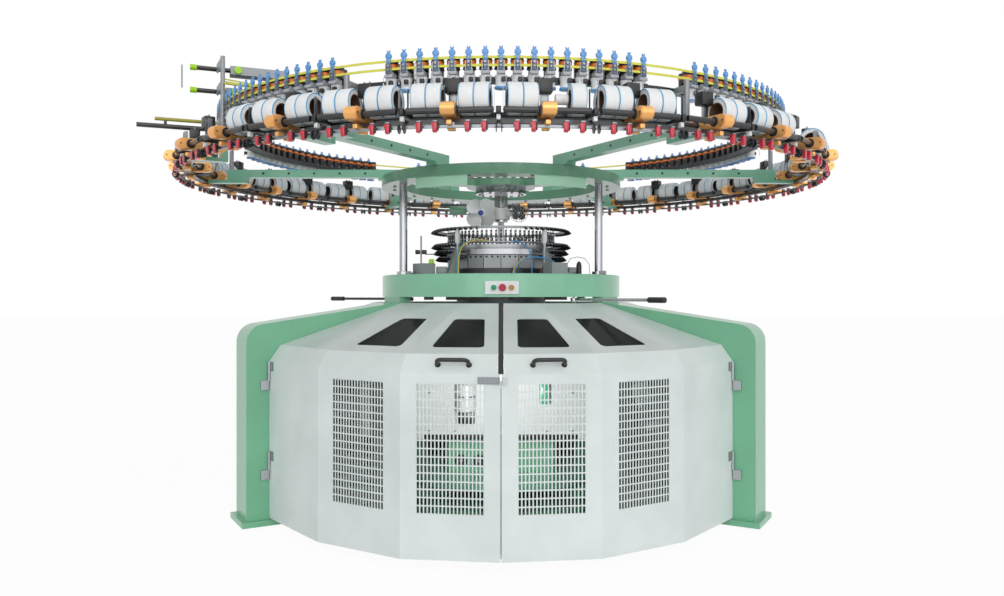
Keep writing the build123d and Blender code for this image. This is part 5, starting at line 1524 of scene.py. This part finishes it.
def leaf_grille(seam_gap=SEAM_GAP):
    """The two grilles of a left leaf."""
    shape = bmesh.new()
    for facet in FACETS:
        place, length = facet_place(facet, PANEL_FOOT, PANEL_TOP, seam_gap)
        middle = place @ at(length / 2, window_middle, -0.0002)
        add_grille(shape, window_size, SLOT_COUNTS, SLOT_SIZE, SHEET - 0.0004, middle)
    return shape


make_leaf_pieces(
    "slotted_grilles", leaf_grille, (door_enamel,), replaced="door_grilles"
)
make_piece(
    "guard_slotted_grilles", copied(leaf_grille(0), guard_turns), (door_enamel,),
    instead_of=("guard_grilles",),
)

# %% [markdown]
# The windows in the roof are wider at the eave than at the top. Thin dark panes, their near
# black painted shade, close them from behind and lap over the edge of the opening all round.
# Panes cut to the exact opening would show a bright line wherever they missed it.

# %% Panes of the roof windows
ROOF_WINDOWS = {1: (0.229, 0.260, 0.170, 0.150), 2: (0.212, 0.234, 0.208, 0.143)}
PANE_SEAM_GAP = 0.012
PANE_THICKNESS = 0.002
PANE_BEHIND = 0.0024
PANE_LAP = 0.010
PANE_LOW = 0.076
PANE_HIGH = 0.452


def leaf_panes(seam_gap=PANE_SEAM_GAP):
    """The two panes behind the roof windows of a left leaf."""
    shape = bmesh.new()
    for facet, (low_x, low_width, high_x, high_width) in ROOF_WINDOWS.items():
        place, _ = facet_place(facet, EAVE, ROOF_TOP, seam_gap)
        outline = [
            (low_x - low_width / 2 - PANE_LAP, PANE_LOW - PANE_LAP),
            (low_x + low_width / 2 + PANE_LAP, PANE_LOW - PANE_LAP),
            (high_x + high_width / 2 + PANE_LAP, PANE_HIGH + PANE_LAP),
            (high_x - high_width / 2 - PANE_LAP, PANE_HIGH + PANE_LAP),
        ]
        add_plate(shape, outline, PANE_THICKNESS, place @ at(0, 0, -SHEET - PANE_BEHIND), 0)
    return shape


make_leaf_pieces("roof_panes", leaf_panes, (shade_painted_pane,))
make_piece("guard_roof_panes", copied(leaf_panes(0), guard_turns), (shade_painted_pane,))

# %% [markdown]
# A black strip of rubber stands behind the edge of each door and closes the seam, so that it
# reads as one dark line: its black is painted shade for the shadow in the gap. Without it the
# light from behind would shine through the gap.


# %% Strips behind the seam
def seam_shade_strip():
    """The black strip behind the free edge of the left leaf, painted shade in the seam."""
    shape = bmesh.new()
    add_block(shape, (0.014, 0.0015, 0.74), at(-0.0077, -1.4975, 0.432), 0)
    return shape


# A black strip on each leaf: painted shade for the gap of the seam.
make_leaf_pieces("seam_shade_strip", seam_shade_strip, (black_rubber,))

# %% [markdown]
# A bow handle sits on the leaning band of each door: a round black bar with two bends, on
# two small feet. The bar follows points in the plane of the band. A bevelled curve would also
# do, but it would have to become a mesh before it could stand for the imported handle.

# %% Bow handles
HANDLE_SPAN = 0.134
HANDLE_REACH = 0.044
HANDLE_RADIUS = 0.009
HANDLE_BEND = 0.020
HANDLE_FROM_SEAM = 0.203
HANDLE_UP = 0.042
BEND_STEPS = 5
band_place, band_length = facet_place(2, PANEL_TOP, EAVE)
handle_middle = band_length - HANDLE_FROM_SEAM


def handle_half(side):
    """Points of one half of the bow, from its foot round the bend."""
    corner = handle_middle + side * (HANDLE_SPAN / 2 - HANDLE_BEND)
    points = [(handle_middle + side * HANDLE_SPAN / 2, HANDLE_UP, 0.0)]
    for angle in (pi / 2 * step / BEND_STEPS for step in range(BEND_STEPS + 1)):
        out = HANDLE_REACH - HANDLE_BEND + HANDLE_BEND * sin(angle)
        points.append((corner + side * HANDLE_BEND * cos(angle), HANDLE_UP, out))
    return points


def bow_handle():
    """The handle of the left leaf."""
    shape = bmesh.new()
    bow = handle_half(-1) + handle_half(1)[::-1]
    add_bar(shape, [band_place @ Vector(point) for point in bow], HANDLE_RADIUS, 16, 0)
    for end in SIDES:
        foot = band_place @ at(handle_middle + end * HANDLE_SPAN / 2, HANDLE_UP, 0)
        add_round(shape, 0.0125, 0.006, foot, 20, 0, 0.002)
    return shape


make_leaf_pieces("bow_handle", bow_handle, (black_plastic,), replaced="handle")

# %% [markdown]
# Inside the doors
#
# Through the slots one sees the take-down: a white motor with a dark terminal block in front
# of the side sheet, a green connector beside it, dark ports on the gearbox and wheels with
# their bolts. Only their tones and outlines come through the grille, so plain rounds and
# blocks are enough. All of it turns with the rotor.

# %% Take-down details
SHEET_FRONT = -0.310
GEAR_FRONT = -0.182
PORT_HEIGHT = 0.214
motor_axis = at(-0.190, SHEET_FRONT - 0.058, 0)
MOTOR_BAND = [(0.0525, 0.600), (0.0545, 0.602), (0.0545, 0.606), (0.0525, 0.608)]
sheet_blocks = (
    ((0.090, 0.060, 0.062), (-0.190, -0.034, 0.484), 1, 0.004),
    ((0.055, 0.050, 0.110), (0.240, -0.027, 0.614), 3, 0.004),
    ((0.860, 0.008, 0.026), (0.0, -0.005, 0.372), 1, 0.002),
)
belt_wheels = ((-0.034, 0.560, 0.03224), (0.034, 0.560, 0.03224), (0.0, 0.452, 0.0372))

inside = bmesh.new()
add_round(inside, 0.052, 0.150, motor_axis @ at(0, 0, 0.520), 28, 0, 0.006)
add_round(inside, 0.030, 0.040, motor_axis @ at(0, 0, 0.670), 20, 0, 0.003)
add_turned(inside, MOTOR_BAND, motor_axis, 28, 2, ring=True)
add_blocks(inside, sheet_blocks, at(0, SHEET_FRONT, 0))
for x in (-0.228, -0.126):
    for y, radius, length, count, finish in (
        (-0.003, 0.036, 0.004, 24, 1), (-0.006, 0.012, 0.006, 16, 2)
    ):
        port = at(x, GEAR_FRONT + y, PORT_HEIGHT) @ AXIS_TO_Y
        add_round(inside, radius, length, port, count, finish, 0.001)
for x, z, radius in belt_wheels:
    wheel = at(x, SHEET_FRONT - 0.026, z) @ AXIS_TO_Y
    add_round(inside, radius, 0.014, wheel, 28, 2, 0.002)
for x in (-0.26, 0.26, -0.40, 0.40):
    for z in (0.40, 0.62):
        bolt = at(x, SHEET_FRONT - 0.006, z) @ AXIS_TO_Y
        add_round(inside, 0.010, 0.007, bolt, 6, 2)
make_piece(
    "takedown_details", inside, (white_enamel, black_plastic, grey_steel, green_plastic),
    body="rotor",
)

# %% [markdown]
# A green tray lies on the floor under the machine and catches oil. Two pipes run round just
# above it, seen as pale bands through the lowest slots. A torus primitive would do for them;
# turned from a closed oval profile they come from the same helper as every other ring.

# %% Oil tray
TRAY_RADIUS = 1.24
TRAY_THICKNESS = 0.004
PIPE_STEPS = 12
PIPE_RINGS = ((0.74, 0.034), (1.02, 0.022))

tray = bmesh.new()
add_round(tray, TRAY_RADIUS, TRAY_THICKNESS, at(0, 0, 0.001), 72, 0)
for radius, height in PIPE_RINGS:
    angles = [2 * pi * step / PIPE_STEPS for step in range(PIPE_STEPS)]
    oval = [(radius + 0.028 * cos(a), height + 0.020 * sin(a)) for a in angles]
    add_turned(tray, oval, at(0, 0, 0.008), 72, 1, ring=True)
make_piece("oil_tray", tray, (arm_enamel, mint_enamel))

# %% [markdown]
# Black cabinets for the drive and the air stand on the tray. Those at the front carry pale
# covers, and the left one grey and green pipes. They are seen only as patches behind the
# slots, so each is a block with a few plates where the patches are, and no more is guessed.
# Their black is partly painted shade: it also stands for the dark inside of the machine that
# shows through the slots.

# %% Cabinets inside
CABINET_RADIUS = 1.08
COVER_EDGE = 0.004
FRONT_CABINET = (0.10, 0.40, 0.68)
REAR_CABINET = (0.16, 0.46, 0.50)
PIPE_COUNT = 4
right_cabinet = polar(40, CABINET_RADIUS, 0.49)
left_cabinet = polar(-40, CABINET_RADIUS, 0.49)
right_face = right_cabinet @ at(0.051, 0, 0)
left_face = left_cabinet @ at(0.051, 0, 0)
left_covers = (
    ((0.02, 0.18, 0.05), (0.012, -0.08, 0.28), 1, COVER_EDGE),
    ((0.03, 0.05, 0.26), (0.016, 0.11, 0.12), 1, COVER_EDGE),
    ((0.02, 0.16, 0.09), (0.012, -0.05, 0.12), 2, COVER_EDGE),
)

# The black of the cabinets is partly painted shade for the dark inside behind the slots.
boxes = bmesh.new()
for cabinet in (right_cabinet, left_cabinet):
    add_block(boxes, FRONT_CABINET, cabinet, 0, 0.006)
for turn in (156, -156):
    add_block(boxes, REAR_CABINET, polar(turn, CABINET_RADIUS, 0.30), 0, 0.006)
slope = right_face @ at(0.012, -0.07, 0.20) @ Matrix.Rotation(radians(24), 4, "X")
add_block(boxes, (0.02, 0.10, 0.12), slope, 1, COVER_EDGE)
add_block(boxes, (0.02, 0.10, 0.04), right_face @ at(0.012, 0.02, 0.03), 1, COVER_EDGE)
add_blocks(boxes, left_covers, left_face)
for step in range(PIPE_COUNT):
    pipe = [(0.008, -0.19, -0.16 - 0.045 * step), (0.008, 0.19, -0.10 - 0.05 * step)]
    add_bar(boxes, [left_face @ Vector(point) for point in pipe], 0.008, 10, 2 + step % 2)
make_piece(
    "inner_cabinets_and_painted_shade", boxes, (black_plastic, white_enamel, grey_enamel, mint_enamel),
)

# %% [markdown]
# In the photograph the white sheet behind the grilles is well lit. The suns don't reach it, so
# a soft spot lamp stands just inside the doors and shines back at the take-down. Brighter suns
# would light it too, but they would wash out the doors.

# %% Lamp inside
LAMP_POWER = 30
LAMP_WIDTH = 66
LAMP_LEAN = 84
lamp_data = bpy.data.lights.new("cabinet_lamp", "SPOT")
lamp_data.energy = LAMP_POWER
lamp_data.spot_size = radians(LAMP_WIDTH)
lamp_data.spot_blend = 0.35
lamp_data.shadow_soft_size = 0.12
lamp = bpy.data.objects.new("cabinet_lamp", lamp_data)
lamp.location = (0, -1.30, 0.66)
lamp.rotation_euler = (radians(LAMP_LEAN), 0, 0)
bpy.context.scene.collection.objects.link(lamp)
print("cabinet_lamp", LAMP_POWER, "W")

# %% [markdown]
# The belt device on the left
#
# Two black tubes with lime caps stand out from the rail and can be swung to tighten the belts.
# A thin rod joins their caps, pale plates with bolts stand behind them, and an olive bar lies
# below. It all stands at one turn from the front, so most parts need only a radius and a
# height. The shape stays open at the end of this cell, because the belts join it.

# %% Frame of the belt device
SIDE_TURN = -67
POST_TURN = -72
BAR_HEIGHT = 2.052
DEVICE_PLATES = ((1.385, 2.330, 0.300), (1.492, 2.214, 0.150))

device = bmesh.new()
add_bar(device, [(-1.62, -0.72, 2.214), (-1.62, -0.72, 2.330)], 0.004, 8, 0)
for radius, height, length in DEVICE_PLATES:
    face = polar(SIDE_TURN, radius, height) @ at(0, -0.034, 0)
    add_block(device, (length, 0.004, 0.056), face, 1, 0.003)
    for step in range(4):
        bolt = face @ at(length * (step / 3 - 0.5) * 0.8, -0.004, 0.012) @ AXIS_TO_Y
        add_round(device, 0.004, 0.0022, bolt, 8, 2)
bar = [polar(SIDE_TURN, radius, BAR_HEIGHT).translation for radius in (1.600, 1.900)]
add_bar(device, bar, 0.009, 12, 3)
for radius in (1.66, 1.85):
    add_block(device, (0.014, 0.010, 0.034), polar(SIDE_TURN, radius, 2.032), 2, 0.001)
post = [polar(POST_TURN, 1.70, height).translation for height in (1.86, 2.01)]
add_bar(device, post, 0.008, 10, 2)
print("device frame", len(device.verts), "points")

# %% [markdown]
# Several yellow belts run from the device back to the feeders. A belt is flat, but from here
# it is a thin line, so each is a slim bar over three points. They lie at slightly different
# heights and distances, given as a lift and a shift, so that they don't run in step.

# %% Belts of the device
BELT_SETS = ((0.000, 0.000), (0.010, 0.022), (0.020, -0.020), (0.004, 0.044))
for lift, shift in BELT_SETS:
    upper = polar(SIDE_TURN - shift * 20, 1.58, 2.262 + lift).translation
    middle = polar(-58, 1.56 + shift, 2.200 + lift).translation
    lower = polar(-45, 1.53 + shift, 2.118 + lift / 3).translation
    add_bar(device, [upper, middle, lower], 0.0038, 8, 4)
make_piece(
    "belt_device", device,
    (grey_steel, zinc_plate, black_plastic, olive_bar, belt_weave),
)

# %% [markdown]
# At the end the number of triangles in the made pieces is printed. Detail may reach a little
# past the solids, but not by much.

# %% Count the triangles and finish
print(sum(made_pieces.values()), "triangles in", len(made_pieces), "pieces")
